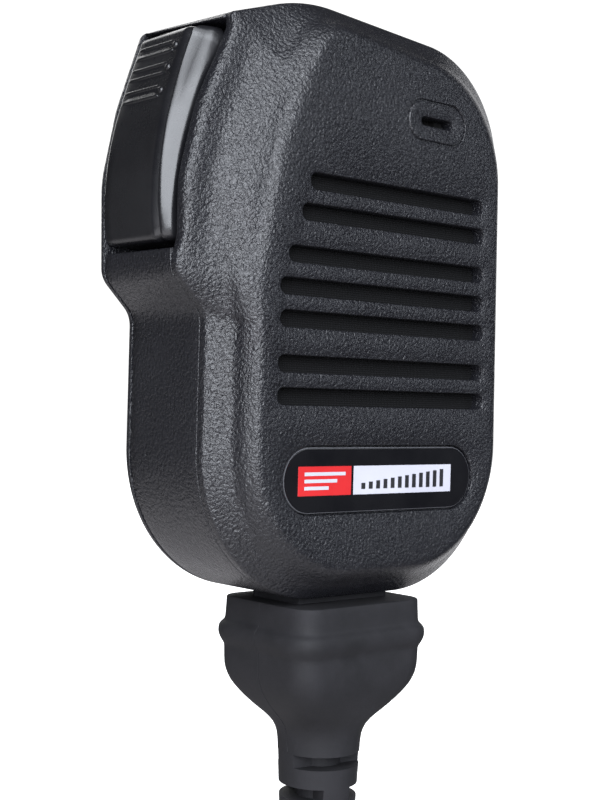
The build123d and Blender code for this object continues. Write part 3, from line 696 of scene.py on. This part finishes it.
b = Build()
skin = []
for k in range(K):
    late = float(smoothstep(k / (K - 1), 0.80, 0.97))
    w_h = w_soft * (1 - late) + w_edge * late
    base = PP[k][None, :] * (1 - w_s[:, None]) + PS[k][None, :] * w_s[:, None]
    ab = base * (1 - w_h[:, None]) + PH[k][None, :] * w_h[:, None]
    p2 = PF + (PR - PF) * ab[:, :1]
    skin.append(at_y(p2, np.clip(ab[:, 1] * Y_RIM, 0.0, Y_SEAM - 0.3)))
edge2 = skin[-1][:, [0, 2]]
ne = normals2d(edge2)
skin.append(at_y(edge2, Y_SEAM - 0.32))
skin.append(at_y(edge2 - ne * 0.02, Y_SEAM - 0.09))
skin.append(at_y(edge2 - ne * 0.08, Y_SEAM - 0.03))
skin.append(at_y(edge2 - ne * 0.16, Y_SEAM))


def wall_x(z):
    return np.where(z < 15.8, -26.6, -26.6 + (z - 15.8) * (6.0 / 26.2))


def keep_cheek(p2):
    q = p2.copy()
    s = (q[:, 1] > 6.1) & (q[:, 1] < 42.0) & (q[:, 0] < 0)
    q[s, 0] = np.maximum(q[s, 0], wall_x(q[s, 1]))
    return q


in_rim = keep_cheek(PR - NR * WALL)
in_top = PF - NF * 1.4
ids = b.rings(skin)
inner = [b.loop(at_y(in_rim, Y_SEAM)), b.loop(at_y(in_rim, Y_RIM + 0.6)),
         b.loop(at_y(keep_cheek(in_top), WALL + 0.0))]
b.bridge(ids[-1], inner[0])
b.bridge(inner[0], inner[1])
b.bridge(inner[1], inner[2])
face_holes, back_holes = [], []
for x0, x1, z in SLOTS:
    cx, w = (x0 + x1) / 2, x1 - x0
    lp = b.rings([at_y(stadium(cx, z, w + 0.36, SLOT_H + 0.36), 0.0), at_y(stadium(cx, z, w + 0.12, SLOT_H + 0.12), 0.07),
                  at_y(stadium(cx, z, w, SLOT_H), 0.24), at_y(stadium(cx, z, w, SLOT_H), WALL)])
    face_holes.append(lp[0])
    back_holes.append(lp[-1])
lp = b.rings([at_y(stadium(BADGE[0], BADGE[1], BADGE[2] + 0.4, BADGE[3] + 0.4, 24, 20), 0.0),
              at_y(stadium(BADGE[0], BADGE[1], BADGE[2] + 0.12, BADGE[3] + 0.12, 24, 20), 0.08),
              at_y(stadium(BADGE[0], BADGE[1], BADGE[2], BADGE[3], 24, 20), 0.26),
              at_y(stadium(BADGE[0], BADGE[1], BADGE[2], BADGE[3], 24, 20), 1.0)])
face_holes.append(lp[0])
b.cap(lp[-1])
mw, mh = MIC_RING
lp = b.rings([at_y(stadium(MIC[0], MIC[1], mw + 0.12, mh + 0.12, 24, 6), 0.0),
              at_y(stadium(MIC[0], MIC[1], mw, mh, 24, 6), 0.08),
              at_y(stadium(MIC[0], MIC[1], mw - 0.14, mh - 0.14, 24, 6), 0.32),
              at_y(stadium(MIC[0], MIC[1], mw - 0.56, mh - 0.56, 24, 6), 0.32),
              at_y(stadium(MIC[0], MIC[1], mw - 0.70, mh - 0.70, 24, 6), 0.08),
              at_y(stadium(MIC[0], MIC[1], mw - 0.90, mh - 0.90, 24, 6), 0.0)])
face_holes.append(lp[0])
ms = b.rings([at_y(stadium(MIC[0], MIC[1], MIC_SLIT[0] + 0.5, MIC_SLIT[1] + 0.5), 0.0),
              at_y(stadium(MIC[0], MIC[1], MIC_SLIT[0] + 0.16, MIC_SLIT[1] + 0.16), 0.1),
              at_y(stadium(MIC[0], MIC[1], MIC_SLIT[0], MIC_SLIT[1]), 0.32),
              at_y(stadium(MIC[0], MIC[1], MIC_SLIT[0], MIC_SLIT[1]), WALL)])
b.cap(lp[-1], [ms[0]])
back_holes.append(ms[-1])
b.cap(ids[0], face_holes)
b.cap(inner[-1], back_holes)
front = b.make("front_shell", [M["case_plastic"]], 38.0)
stand_for(front, "front_case")

# ------------------------------------------------------------------ centre frame


def notch_loop(p2):
    """The band's outline with the paddle's opening taken out of its left side."""
    z = p2[:, 1]
    leftside = p2[:, 0] < -20
    i0 = [i for i in range(NP) if leftside[i] and z[i] < 7.9 - 0.25]
    i1 = [i for i in range(NP) if leftside[i] and z[i] > 40.2 + 0.25]
    a, c = max(i0), min(i1)
    xa = np.interp(7.9, z[a:a + 12], p2[a:a + 12, 0])
    seg = p2[c - 14:c + 1]
    xc = np.interp(40.2, seg[:, 1], seg[:, 0])
    add = [(xa, 7.9 - 0.18), (xa + 0.06, 7.9 - 0.05), (xa + 0.2, 7.9), (-28.75, 7.9), (-28.5, 8.0), (-28.4, 8.25)]
    for k in range(1, 6):
        add.append((-28.4, 8.25 + (16.0 - 8.25) * k / 5))
    for k in range(1, 12):
        add.append((-28.4 + 5.6 * k / 12, 16.0 + 24.2 * k / 12))
    add += [(-22.86, 39.95), (-22.9, 40.12), (-23.1, 40.2), (xc + 0.2, 40.2), (xc + 0.06, 40.25), (xc, 40.38)]
    return np.array(list(p2[:a + 1]) + add + list(p2[c:])), a, c


def band_at(y):
    f = (y - Y_SEAM) / (Y_REAR - Y_SEAM)
    return PR + (PB - PR) * f


def band_loop(y, t=0.0):
    p = band_at(y)
    n = normals2d(p)
    q = p - n * t
    return q


a_c = None


def fixed_notch(y, t):
    global a_c
    p = band_loop(y, 0.0)
    if a_c is None:
        _, a, c = notch_loop(p)
        a_c = (a - 1, c + 1)
    a, c = a_c
    z = p[:, 1]
    xa = p[a, 0]
    xc = np.interp(40.2, p[c - 16:c + 1, 1], p[c - 16:c + 1, 0])
    nt_ = normals2d(p)
    q = p - nt_ * t
    xa, xc = xa + t, xc + t
    add = [(xa, 7.9 - 0.30), (xa + 0.05, 7.9 - 0.10), (xa + 0.25, 7.9 + 0.0), (-28.75, 7.9), (-28.5, 8.0), (-28.4, 8.25)]
    for k in range(1, 6):
        add.append((-28.4, 8.25 + (16.0 - 8.25) * k / 5))
    for k in range(1, 12):
        add.append((-28.4 + 5.6 * k / 12, 16.0 + 24.2 * k / 12))
    add += [(-22.86, 39.95), (-22.92, 40.14), (-23.15, 40.2), (xc + 0.35, 40.2), (xc + 0.12, 40.26), (xc + 0.02, 40.42)]
    return np.array(list(q[:a + 1]) + add + list(q[c:]))


b = Build()
ys = [(7.2, 0.16), (7.22, 0.08), (7.27, 0.02), (7.36, 0.0), (9, 0), (11, 0), (13, 0), (15, 0), (17, 0), (19, 0), (21, 0),
      (22.86, 0.0), (22.93, 0.03), (22.96, 0.10), (22.98, 0.6), (23.2, 0.6)]
outer_ids = b.rings([at_y(fixed_notch(y, t), y) for y, t in ys])
in_f = keep_cheek(PR - NR * BAND_WALL)
in_b = keep_cheek(PB - NB * BAND_WALL)
inner_ids = b.rings([at_y(in_f, Y_SEAM), at_y(in_b, Y_REAR)])
b.cap(outer_ids[0], [inner_ids[0]])
b.cap(outer_ids[-1], [inner_ids[-1]])
band = b.make("band_shell", [M["case_plastic"]], 38.0)
boolean(band, solid_rod((14.2, 22.0), 0, 1.8, -40, -20))
boolean(band, solid_box(-9.2, 9.2, 8.2, 19.0, -44, -38))
boolean(band, NODES["case_seal"], keep=True)
resharp(band, 38.0)
stand_for(band, "centre_frame")

# ------------------------------------------------------------------ back cover
b = Build()
rr = 1.1
prof = [(0.6, 23.2), (0.6, 23.34), (0.10, 23.36), (0.03, 23.39), (0.0, 23.46), (0.0, 23.7)]
for k in range(1, 8):
    t = math.pi / 2 * k / 7
    prof.append((rr - rr * math.cos(t), 23.7 + rr * math.sin(t)))
ids = b.rings([at_y(PB - NB * t, y) for t, y in prof])
sp0 = PB - NB * (BAND_WALL + 0.25)
s_ = (sp0[:, 1] > 5.8) & (sp0[:, 1] < 42.3) & (sp0[:, 0] < 0)
sp0[s_, 0] = np.maximum(sp0[s_, 0], wall_x(sp0[s_, 1]) + 0.3)
spig = b.rings([at_y(sp0, Y_REAR), at_y(sp0, D - BACK_PLATE)])
b.cap(ids[0], [spig[0]])
in_holes, out_holes = [], []
for x, z in BOSSES:
    lp = b.rings([at_y(circle2(x, z, 2.85), D), at_y(circle2(x, z, 2.68), D - 0.07), at_y(circle2(x, z, 2.6), D - 0.25),
                  at_y(circle2(x, z, 2.6), D - 1.5), at_y(circle2(x, z, 1.35), D - 1.5), at_y(circle2(x, z, 1.35), 20.1),
                  at_y(circle2(x, z, 3.0), 20.1), at_y(circle2(x, z, 3.0), D - BACK_PLATE)])
    out_holes.append(lp[0])
    in_holes.append(lp[-1])
lp = b.rings([at_y(circle2(0, C, 1.6), D), at_y(circle2(0, C, 1.5), D - 0.1), at_y(circle2(0, C, 1.5), 18.6),
              at_y(circle2(0, C, 6.0), 18.6), at_y(circle2(0, C, 6.0), D - BACK_PLATE)])
out_holes.append(lp[0])
in_holes.append(lp[-1])
b.cap(ids[-1], out_holes)
b.cap(spig[-1], in_holes)
back = b.make("back_shell", [M["back_plastic"]], 38.0)
boolean(back, solid_rod(PIN, 1, 0.8, Y_REAR - 1, Y_REAR + 0.9))
resharp(back, 38.0)
stand_for(back, "back_cover")

# ------------------------------------------------------------------ badge
b = Build()
Y0 = 0.2


def plate(b, w, h, y0, y1, mat=0, bev=0.12, cx=BADGE[0], cz=BADGE[1]):
    lp = b.rings([at_y(stadium(cx, cz, w, h, 24, 20), y1), at_y(stadium(cx, cz, w, h, 24, 20), y0 + bev),
                  at_y(stadium(cx, cz, w - bev * 0.6, h - bev * 0.6, 24, 20), y0 + bev * 0.3),
                  at_y(stadium(cx, cz, w - bev * 2, h - bev * 2, 24, 20), y0)], mat)
    b.cap(lp[0], (), mat)
    return lp[-1]


# material 1 (the plate's rim and sides) carries the painted rim highlight colour
outer = plate(b, 38.2, 9.3, 0.34, 1.0, 1)
inn = b.rings([at_y(stadium(BADGE[0], BADGE[1], 37.75, 8.85, 24, 20), 0.31), at_y(stadium(BADGE[0], BADGE[1], 37.6, 8.7, 24, 20), 0.31)], 0)
b.bridge(outer, inn[0], 0)
core = b.loop(at_y(stadium(BADGE[0], BADGE[1], 37.4, 8.5, 24, 20), 0.36))
b.bridge(inn[1], core, 0)
b.cap(core, (), 0)


def tile(b, x0, x1, z0, z1, y0, y1, mat, bev=0.05):
    def lp(i, y):
        return [(x0 + i, y, z0 + i), (x1 - i, y, z0 + i), (x1 - i, y, z1 - i), (x0 + i, y, z1 - i)]
    r = b.rings([lp(0, y1), lp(0, y0 + bev), lp(bev, y0)], mat)
    b.face(r[-1], mat)
    b.face(r[0], mat)


tile(b, -16.8, -6.6, -25.5, -21.3, 0.34, 0.5, 2)
tile(b, -6.2, 14.4, -25.5, -21.3, 0.34, 0.5, 3)
for k, zz in enumerate((-22.4, -23.4, -24.4)):
    tile(b, -15.6, -7.8 - 1.6 * k, zz - 0.25, zz + 0.25, 0.31, 0.36, 3, 0.01)
for k in range(12):
    x0 = -4.6 + 1.5 * k
    tile(b, x0, x0 + 0.8, -24.7, -24.7 + 0.9 + 0.16 * k, 0.31, 0.36, 4, 0.01)
badge = b.make("badge_face", [M["badge"], M_RIM_PAINTED_HIGHLIGHT, M_RED, M_PALE, M_INK], 25.0)
stand_for(badge, "badge_plate")

# ------------------------------------------------------------------ paddle


def along(poly, n):
    p = np.array(poly, float)
    d = np.r_[0, np.cumsum(np.hypot(*np.diff(p, axis=0).T))]
    c = smooth_profile([tuple(q) for q in poly], 200)
    dc = np.r_[0, np.cumsum(np.hypot(*np.diff(c, axis=0).T))]
    s = np.linspace(0, dc[-1], n)
    return np.stack([np.interp(s, dc, c[:, 0]), np.interp(s, dc, c[:, 1])], 1)


NPT = 60
po, pf = along(PTT_OUT, NPT), along(PTT_FRONT, NPT)
zi = np.linspace(0, 1, NPT)


def in_x(z):
    return np.where(z < 22.0, -29.3, -29.3 + (z - 22.0) * (4.1 / 17.7))


def paddle_ring(y, out2, low=0.0):
    """Returns a copy of the outer curve."""
    o = out2.copy()
    z0, z1 = o[0, 1], o[-1, 1]
    return o


def offset_curve(p, t):
    d = np.gradient(p, axis=0)
    n = np.stack([-d[:, 1], d[:, 0]], 1)
    n /= np.linalg.norm(n, axis=1)[:, None]
    if n[len(n) // 2, 0] > 0:
        n = -n
    return p - n * t      # t > 0 moves inwards


stations = []
Y0P, Y1P = 7.7, 22.9
yy = [  # y, blend front->outer (0..1), inward offset
    (8.40, 0.0, 1.0), (8.42, 0.0, 0.55), (8.48, 0.0, 0.22), (8.60, 0.03, 0.05), (8.78, 0.17, 0.0), (8.98, 0.34, -0.04),
    (9.18, 0.51, -0.06), (9.38, 0.68, -0.06), (9.58, 0.83, -0.03), (9.74, 0.93, 0.05), (9.84, 0.98, 0.2), (9.92, 1.0, 0.42),
    (10.0, 1.0, 0.62), (10.16, 1.0, 0.70), (10.34, 1.0, 0.66), (10.5, 1.0, 0.54), (10.75, 1.0, 0.36),
    (11.05, 1.0, 0.17), (11.3, 1.0, 0.05), (11.5, 1.0, 0.0), (12.1, 1.0, 0.0), (13.0, 1.0, 0.0), (15.0, 1.0, 0.0),
    (18.0, 1.0, 0.0), (21.0, 1.0, 0.0), (22.5, 1.0, 0.0), (22.75, 1.0, 0.06), (22.86, 1.0, 0.18), (22.9, 1.0, 0.4)]
b = Build()
rings = []
for y, fb, off in yy:
    slant = smoothstep(np.linspace(0, 1, NPT), 0.45, 0.95)       # the bevel widens towards the top
    yv = y + slant * (0.55 if 8.2 < y < 12.5 else 0.0) * (1 if y < 11.7 else max(0.0, (13.0 - y) / 1.3))
    cur = pf + (po - pf) * fb
    cur = offset_curve(cur, off)
    e = max(0.0, off)
    front_drop = max(0.0, (10.3 - y) / 1.9)
    lowz, topz = 9.0 + e * 0.8 + 0.5 * front_drop ** 2, 39.7 - e * 0.5 - 1.5 * front_drop ** 2
    # lower and upper ends, rounded
    pts, ysr = [], []
    inner_low = (-29.3 + 0.0, lowz)
    r_e = 0.55
    first, last = cur[0], cur[-1]
    cur = cur.copy()
    cur[:, 1] = lowz + (cur[:, 1] - cur[0, 1]) * (topz - lowz) / (cur[-1, 1] - cur[0, 1])
    body_pts = cur[3:-3]
    x_l, x_t = cur[0, 0], cur[-1, 0]
    bl = cur[3]
    pts = [(-29.3 - e * 0.0, lowz)]
    for k in range(1, 5):
        pts.append((-29.3 + (x_l + 1.1 + 29.3) * k / 5, lowz))
    for k in range(0, 6):
        t = math.pi / 2 * k / 5
        pts.append((x_l + 1.1 - (x_l + 1.1 - bl[0]) * math.sin(t), bl[1] - (bl[1] - lowz) * math.cos(t)))
    pts += [tuple(q) for q in body_pts[1:-1]]
    br = body_pts[-1]
    for k in range(0, 6):
        t = math.pi / 2 * k / 5
        pts.append((br[0] + (x_t + 1.0 - br[0]) * (1 - math.cos(t)), br[1] + (topz - br[1]) * math.sin(t)))
    xin = float(in_x(topz))
    for k in range(1, 4):
        pts.append((x_t + 1.0 + (xin - x_t - 1.0) * k / 3, topz))
    for k in range(1, 14):
        z = topz + (lowz - topz) * k / 14
        pts.append((float(in_x(z)), z))
    pts = np.array(pts)
    pts[:, 0] = np.maximum(pts[:, 0], -35.095)
    pts[:, 0] = np.minimum(pts[:, 0], in_x(pts[:, 1]))
    zf = np.clip((pts[:, 1] - 9.0) / 30.7, 0, 1)
    outer_w = 1 - smoothstep(pts[:, 0] - np.interp(pts[:, 1], po[:, 1], po[:, 0]), 0.6, 3.0)
    dy = smoothstep(zf, 0.35, 0.95) * 0.85 * max(0.0, min(1.0, (y - 8.5) / 0.9)) * max(0.0, min(1.0, (13.0 - y) / 1.4))
    rings.append(at_y(pts, y + dy * outer_w))
ids = b.rings(rings)
b.cap(ids[0])
b.cap(ids[-1])
ptt = b.make("paddle_shell", [M["button_plastic"]], 38.0)
boolean(ptt, solid_rod(PIN, 1, 0.85, 6, 24))
pk = solid_rod(PIN, 1, 2.5, 14.0, 19.0)
boolean(pk, solid_box(PIN[0], -27, 14.001, 18.999, PIN[1] - 2.5, PIN[1] + 8.5), "UNION")
boolean(ptt, pk)


def out_x(z):
    return float(np.interp(z, po[:, 1], po[:, 0]))


for z in (36.9, 33.6, 30.2):
    for dz in (-0.7, 0.7):
        rb = Build()
        n = 14
        sect = []
        x0 = out_x(z + dz) + 0.12
        for y, s in ((13.9, 0.05), (13.95, 0.4), (14.2, 0.7), (14.6, 0.75), (18.0, 0.75), (21.9, 0.75), (22.2, 0.6), (22.35, 0.3), (22.4, 0.05)):
            sect.append([(x0 + 0.38 * s * math.cos(2 * math.pi * k / n), y, z + dz + 0.38 * s * math.sin(2 * math.pi * k / n)) for k in range(n)])
        i_ = rb.rings(sect)
        rb.face(i_[0])
        rb.face(i_[-1])
        boolean(ptt, rb.make("rib", [M["button_plastic"]]), "UNION")
for z in (36.9, 33.6, 30.2):
    db = Build()
    n = 16
    x0 = out_x(z) + 0.10
    sect = []
    for k in range(9):
        t = math.pi * (k + 0.5) / 9
        sect.append([(x0 - 0.0 + 0.48 * math.cos(t), 13.4 + 0.55 * math.sin(t) * math.cos(2 * math.pi * q / n),
                      z + 0.55 * math.sin(t) * math.sin(2 * math.pi * q / n)) for q in range(n)])
    i_ = db.rings(sect)
    db.face(i_[0])
    db.face(i_[-1])
    boolean(ptt, db.make("dome", [M["button_plastic"]]), "UNION")
resharp(ptt, 38.0)
stand_for(ptt, "ptt_button")

# ------------------------------------------------------------------ cable boot


def rr_radius(phi, A, B, R):
    lo, hi = np.zeros_like(phi), np.full_like(phi, A + B)
    c, s = np.cos(phi), np.sin(phi)
    for _ in range(48):
        m = (lo + hi) / 2
        qx, qy = np.abs(m * c) - (A - R), np.abs(m * s) - (B - R)
        sd = np.hypot(np.maximum(qx, 0), np.maximum(qy, 0)) + np.minimum(np.maximum(qx, qy), 0) - R
        inside_ = sd < 0
        lo, hi = np.where(inside_, m, lo), np.where(inside_, hi, m)
    return (lo + hi) / 2


def boot_ring(z, A, B, R, ridge=0.0, nphi=176):
    base = np.arange(nphi) * 2 * math.pi / nphi
    keep_ = base[(np.abs(base - math.pi) > 0.055) & (base > 0.055) & (base < 2 * math.pi - 0.055)]
    r_ = float(A)
    sp = np.array([-0.24, -0.08, 0.0, 0.08, 0.24]) / r_
    phi = np.concatenate([sp[2:], keep_[keep_ < math.pi], math.pi + sp, keep_[keep_ > math.pi], 2 * math.pi + sp[:2]])
    rad = rr_radius(phi, A, B, R)
    lift = np.zeros_like(phi)
    lift[np.isclose(phi, math.pi)] = ridge
    lift[np.isclose(phi, 0.0)] = ridge
    rad = rad + lift
    return np.stack([rad * np.cos(phi), CABLE_Y + rad * np.sin(phi), np.full_like(phi, z)], 1)


prof = [  # z, A, B, R
    (-42.1, 11.75, 9.55, 3.1), (-42.1, 12.15, 9.95, 3.3), (-42.16, 12.36, 10.16, 3.45), (-42.34, 12.46, 10.26, 3.5), (-43.2, 12.48, 10.28, 3.5),
    (-44.4, 12.53, 10.33, 3.5), (-45.35, 12.57, 10.37, 3.5), (-45.7, 12.66, 10.46, 3.5),
    (-45.95, 12.88, 10.66, 3.6), (-46.2, 13.12, 10.9, 3.8), (-46.5, 13.32, 11.08, 3.9),
    (-46.9, 13.43, 11.18, 4.0), (-47.4, 13.45, 11.2, 4.0), (-47.9, 13.40, 11.15, 4.0), (-48.4, 13.22, 10.98, 3.9),
    (-48.85, 12.98, 10.75, 3.7), (-49.25, 12.74, 10.53, 3.55), (-49.6, 12.62, 10.42, 3.5), (-50.2, 12.6, 10.4, 3.5),
    (-51.3, 12.58, 10.38, 3.5), (-52.4, 12.54, 10.33, 3.55), (-53.3, 12.4, 10.22, 3.62), (-54.1, 12.18, 10.06, 3.75), (-54.9, 11.85, 9.85, 3.9),
    (-55.6, 11.46, 9.6, 4.1), (-56.4, 10.95, 9.27, 4.4), (-57.2, 10.36, 8.88, 4.7), (-58.1, 9.6, 8.4, 5.0), (-58.9, 8.86, 7.98, 5.4),
    (-59.6, 8.2, 7.6, 5.8), (-60.3, 7.6, 7.2, 6.0), (-61.1, 7.05, 6.88, 6.2), (-61.9, 6.72, 6.62, 6.3), (-62.7, 6.52, 6.47, 6.35),
    (-63.4, 6.42, 6.4, 6.34), (-64.2, 6.34, 6.34, 6.32)]
rel = []
for k in range(1, 25):
    z = -64.2 - (88.0 - 64.2 - 0.8) * k / 24
    r = 6.34 - (6.35 - 5.1) * (-64.2 - z) / (88.0 - 64.2)
    rel.append((z, r, r, r - 0.02))
for k in range(1, 6):
    t = math.pi / 2 * k / 5
    z = -87.2 - 0.8 * math.sin(t)
    r = 5.14 - 0.8 * (1 - math.cos(t))
    rel.append((z, r, r, r - 0.02))
b = Build()
loops = [boot_ring(z, A, B, R, -0.24 if z < -42.3 and z > -64.5 else 0.0) for z, A, B, R in prof + rel]
ids = b.rings(loops)
nph = len(loops[0])
bore = lambda z, r: [(r * math.cos(2 * math.pi * k / nph), CABLE_Y + r * math.sin(2 * math.pi * k / nph), z) for k in range(nph)]
i_bot = b.loop(bore(-88.0, CABLE_R + 0.25))
i_bot2 = b.loop(bore(-87.75, CABLE_R))
i_top = b.loop(bore(-42.1, CABLE_R))
b.cap(ids[-1], [i_bot], axes=(0, 1))
b.bridge(i_bot, i_bot2)
b.bridge(i_bot2, i_top)
b.cap(ids[0], [i_top], axes=(0, 1))
boot = b.make("boot_skin", [M["boot_rubber"]], 40.0)
# the parts of the CAD boot above the head: neck and inner flange
neck = Build()
lp = neck.rings([[(x, y, z) for x, y in ((-9.0, 8.4), (9.0, 8.4), (9.0, 18.8), (-9.0, 18.8))] for z in (-42.4, -38.0)])
neck.face(lp[0])
neck.face(lp[-1])
nk = neck.make("neck", [M["boot_rubber"]])
fl = solid_box(-10.4, 10.4, 8.4, 19.6, -38.6, -37.4)
boolean(nk, fl, "UNION")
boolean(nk, solid_rod((0.0, CABLE_Y), 2, CABLE_R, -50, -30))
boolean(boot, nk, "UNION")
# cuts through the tail at five levels, turned 90 degrees from one level to the next, each leaving a web and the sleeve
# round the cable
for k in range(5):
    zc = -66.4 - 4.9 * k
    ang = math.radians(-11.0 + 90 * ((k + 1) % 2))
    ca, sa = math.cos(ang), math.sin(ang)
    for side in (-1, 1):
        cb = Build()
        pts2 = []
        # one side's cutter: between the web (half width 2.3) and the outside, minus the inner sleeve
        x0, x1 = 2.3 * side, 7.5 * side
        poly = []
        n = 10
        t0 = math.acos(2.3 / 3.4)
        for q in range(n + 1):
            t = -t0 + 2 * t0 * q / n
            poly.append((3.4 * math.cos(t) * side, 3.4 * math.sin(t)))
        poly = [(2.3 * side, -7.0)] + poly + [(2.3 * side, 7.0), (x1, 7.0), (x1, -7.0)]
        lps = []
        for z in (zc - 1.0, zc + 1.0):
            lps.append(cb.loop([(x * ca - y * sa, CABLE_Y + x * sa + y * ca, z) for x, y in poly]))
        cb.bridge(*lps)
        cb.cap(lps[0], axes=(0, 1))
        cb.cap(lps[1], axes=(0, 1))
        boolean(boot, cb.make("cut", []))
resharp(boot, 36.0)
stand_for(boot, "cable_boot")

# ------------------------------------------------------------------ clip and small parts, with softened edges
softened("clip_base", 0.35, 3)
softened("clip_lever", 0.25, 2)
softened("swivel_screw", 0.12, 2)
softened("case_screws", 0.1, 2)
softened("clip_pin", 0.2, 2)
softened("swivel_washer", 0.08, 1)
for name, ob in NODES.items():
    if not ob.hide_render:
        resharp(ob, 30.0)

# ------------------------------------------------------------------ floor, light, camera
fm, nt, bsdf, vec = start("floor_white")
w = noise(nt, vec, 60.0, 3.0, 0.5)
colour(nt, bsdf, w, (0.86, 0.86, 0.86), (0.9, 0.9, 0.9))
bsdf.inputs["Roughness"].default_value = 0.9
bsdf.inputs["Emission Color"].default_value = (1, 1, 1, 1)
bsdf.inputs["Emission Strength"].default_value = 1.0
fb_ = bpy.data.meshes.new("floor")
h = -0.0962
fb_.from_pydata([(-6, -6, h), (6, -6, h), (6, 6, h), (-6, 6, h)], [], [(0, 1, 2, 3)])
fb_.materials.append(fm)
fl_ = bpy.data.objects.new("floor", fb_)
bpy.context.scene.collection.objects.link(fl_)
fl_.visible_diffuse = False
fl_.visible_glossy = False
fl_.visible_shadow = False
fl_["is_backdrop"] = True

world = bpy.data.worlds.new("studio")
bpy.context.scene.world = world
world.use_nodes = True
wn = world.node_tree
wn.nodes.clear()
out = wn.nodes.new("ShaderNodeOutputWorld")
bg_cam = wn.nodes.new("ShaderNodeBackground")
bg_cam.inputs[0].default_value = (1, 1, 1, 1)
bg_cam.inputs[1].default_value = 1.15
bg_lit = wn.nodes.new("ShaderNodeBackground")
bg_lit.inputs[0].default_value = (0.95, 0.97, 1.0, 1)
bg_lit.inputs[1].default_value = 0.05
lp_ = wn.nodes.new("ShaderNodeLightPath")
mix = wn.nodes.new("ShaderNodeMixShader")
wn.links.new(lp_.outputs["Is Camera Ray"], mix.inputs[0])
wn.links.new(bg_lit.outputs[0], mix.inputs[1])
wn.links.new(bg_cam.outputs[0], mix.inputs[2])
wn.links.new(mix.outputs[0], out.inputs[0])


def area(name, direction, dist, size_x, size_y, power, col=(1, 1, 1), target=(0, -0.012, -0.01)):
    l = bpy.data.lights.new(name, "AREA")
    l.shape = "RECTANGLE"
    l.size, l.size_y = size_x, size_y
    l.energy = power
    l.color = col
    o = bpy.data.objects.new(name, l)
    d = Vector(direction).normalized()
    t = Vector(target)
    o.location = t + d * dist
    o.rotation_mode = "QUATERNION"
    o.rotation_quaternion = (-d).to_track_quat("-Z", "Y")
    o.visible_camera = False
    bpy.context.scene.collection.objects.link(o)
    return o


area("key", (-0.60, -0.80, 0.34), 0.9, 0.80, 0.72, 21.0, (0.89, 0.93, 1.0))
area("high", (-0.30, -0.55, 0.80), 0.9, 0.5, 0.5, 4.2, (0.89, 0.93, 1.0))
area("fill", (0.62, -0.78, 0.25), 1.2, 0.34, 0.46, 2.8, (0.85, 0.91, 1.0))
area("low", (-0.62, -0.42, -0.30), 0.5, 0.5, 0.3, 1.2, (0.95, 0.94, 1.0), (0, -0.012, -0.04))
area("table", (-0.10, 0.25, -1.0), 0.50, 1.5, 1.5, 5.5, (0.97, 0.95, 1.0), (0, -0.012, -0.04))
area("card_right", (0.86, 0.51, 0.0), 1.1, 0.8, 1.1, 3.2, (0.97, 0.97, 1.0))
area("card_left", (-0.78, 0.62, 0.05), 1.1, 0.8, 1.0, 0.5, (0.97, 0.97, 1.0))
area("back", (0.3, 0.9, 0.5), 1.4, 0.9, 0.9, 7.0)

cam = bpy.data.cameras.new("cam")
co = bpy.data.objects.new("cam", cam)
bpy.context.scene.collection.objects.link(co)
R = Matrix(((0.750537, -0.019840, -0.660531), (-0.660281, 0.018158, -0.750799), (0.026890, 0.999638, 0.000528)))
mw_ = R.to_4x4()
mw_.translation = Vector((-0.14177, -0.16647, -0.01997))
co.matrix_world = mw_
cam.lens = 61.425
cam.sensor_width = 36.0
cam.sensor_fit = "AUTO"
cam.clip_start, cam.clip_end = 0.005, 30.0
bpy.context.scene.camera = co
bpy.context.scene.view_settings.view_transform = "Standard"
bpy.context.scene.view_settings.look = "None"

lo1, hi1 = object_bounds()
SIZE["visual_lo"], SIZE["visual_hi"] = list(lo1), list(hi1)
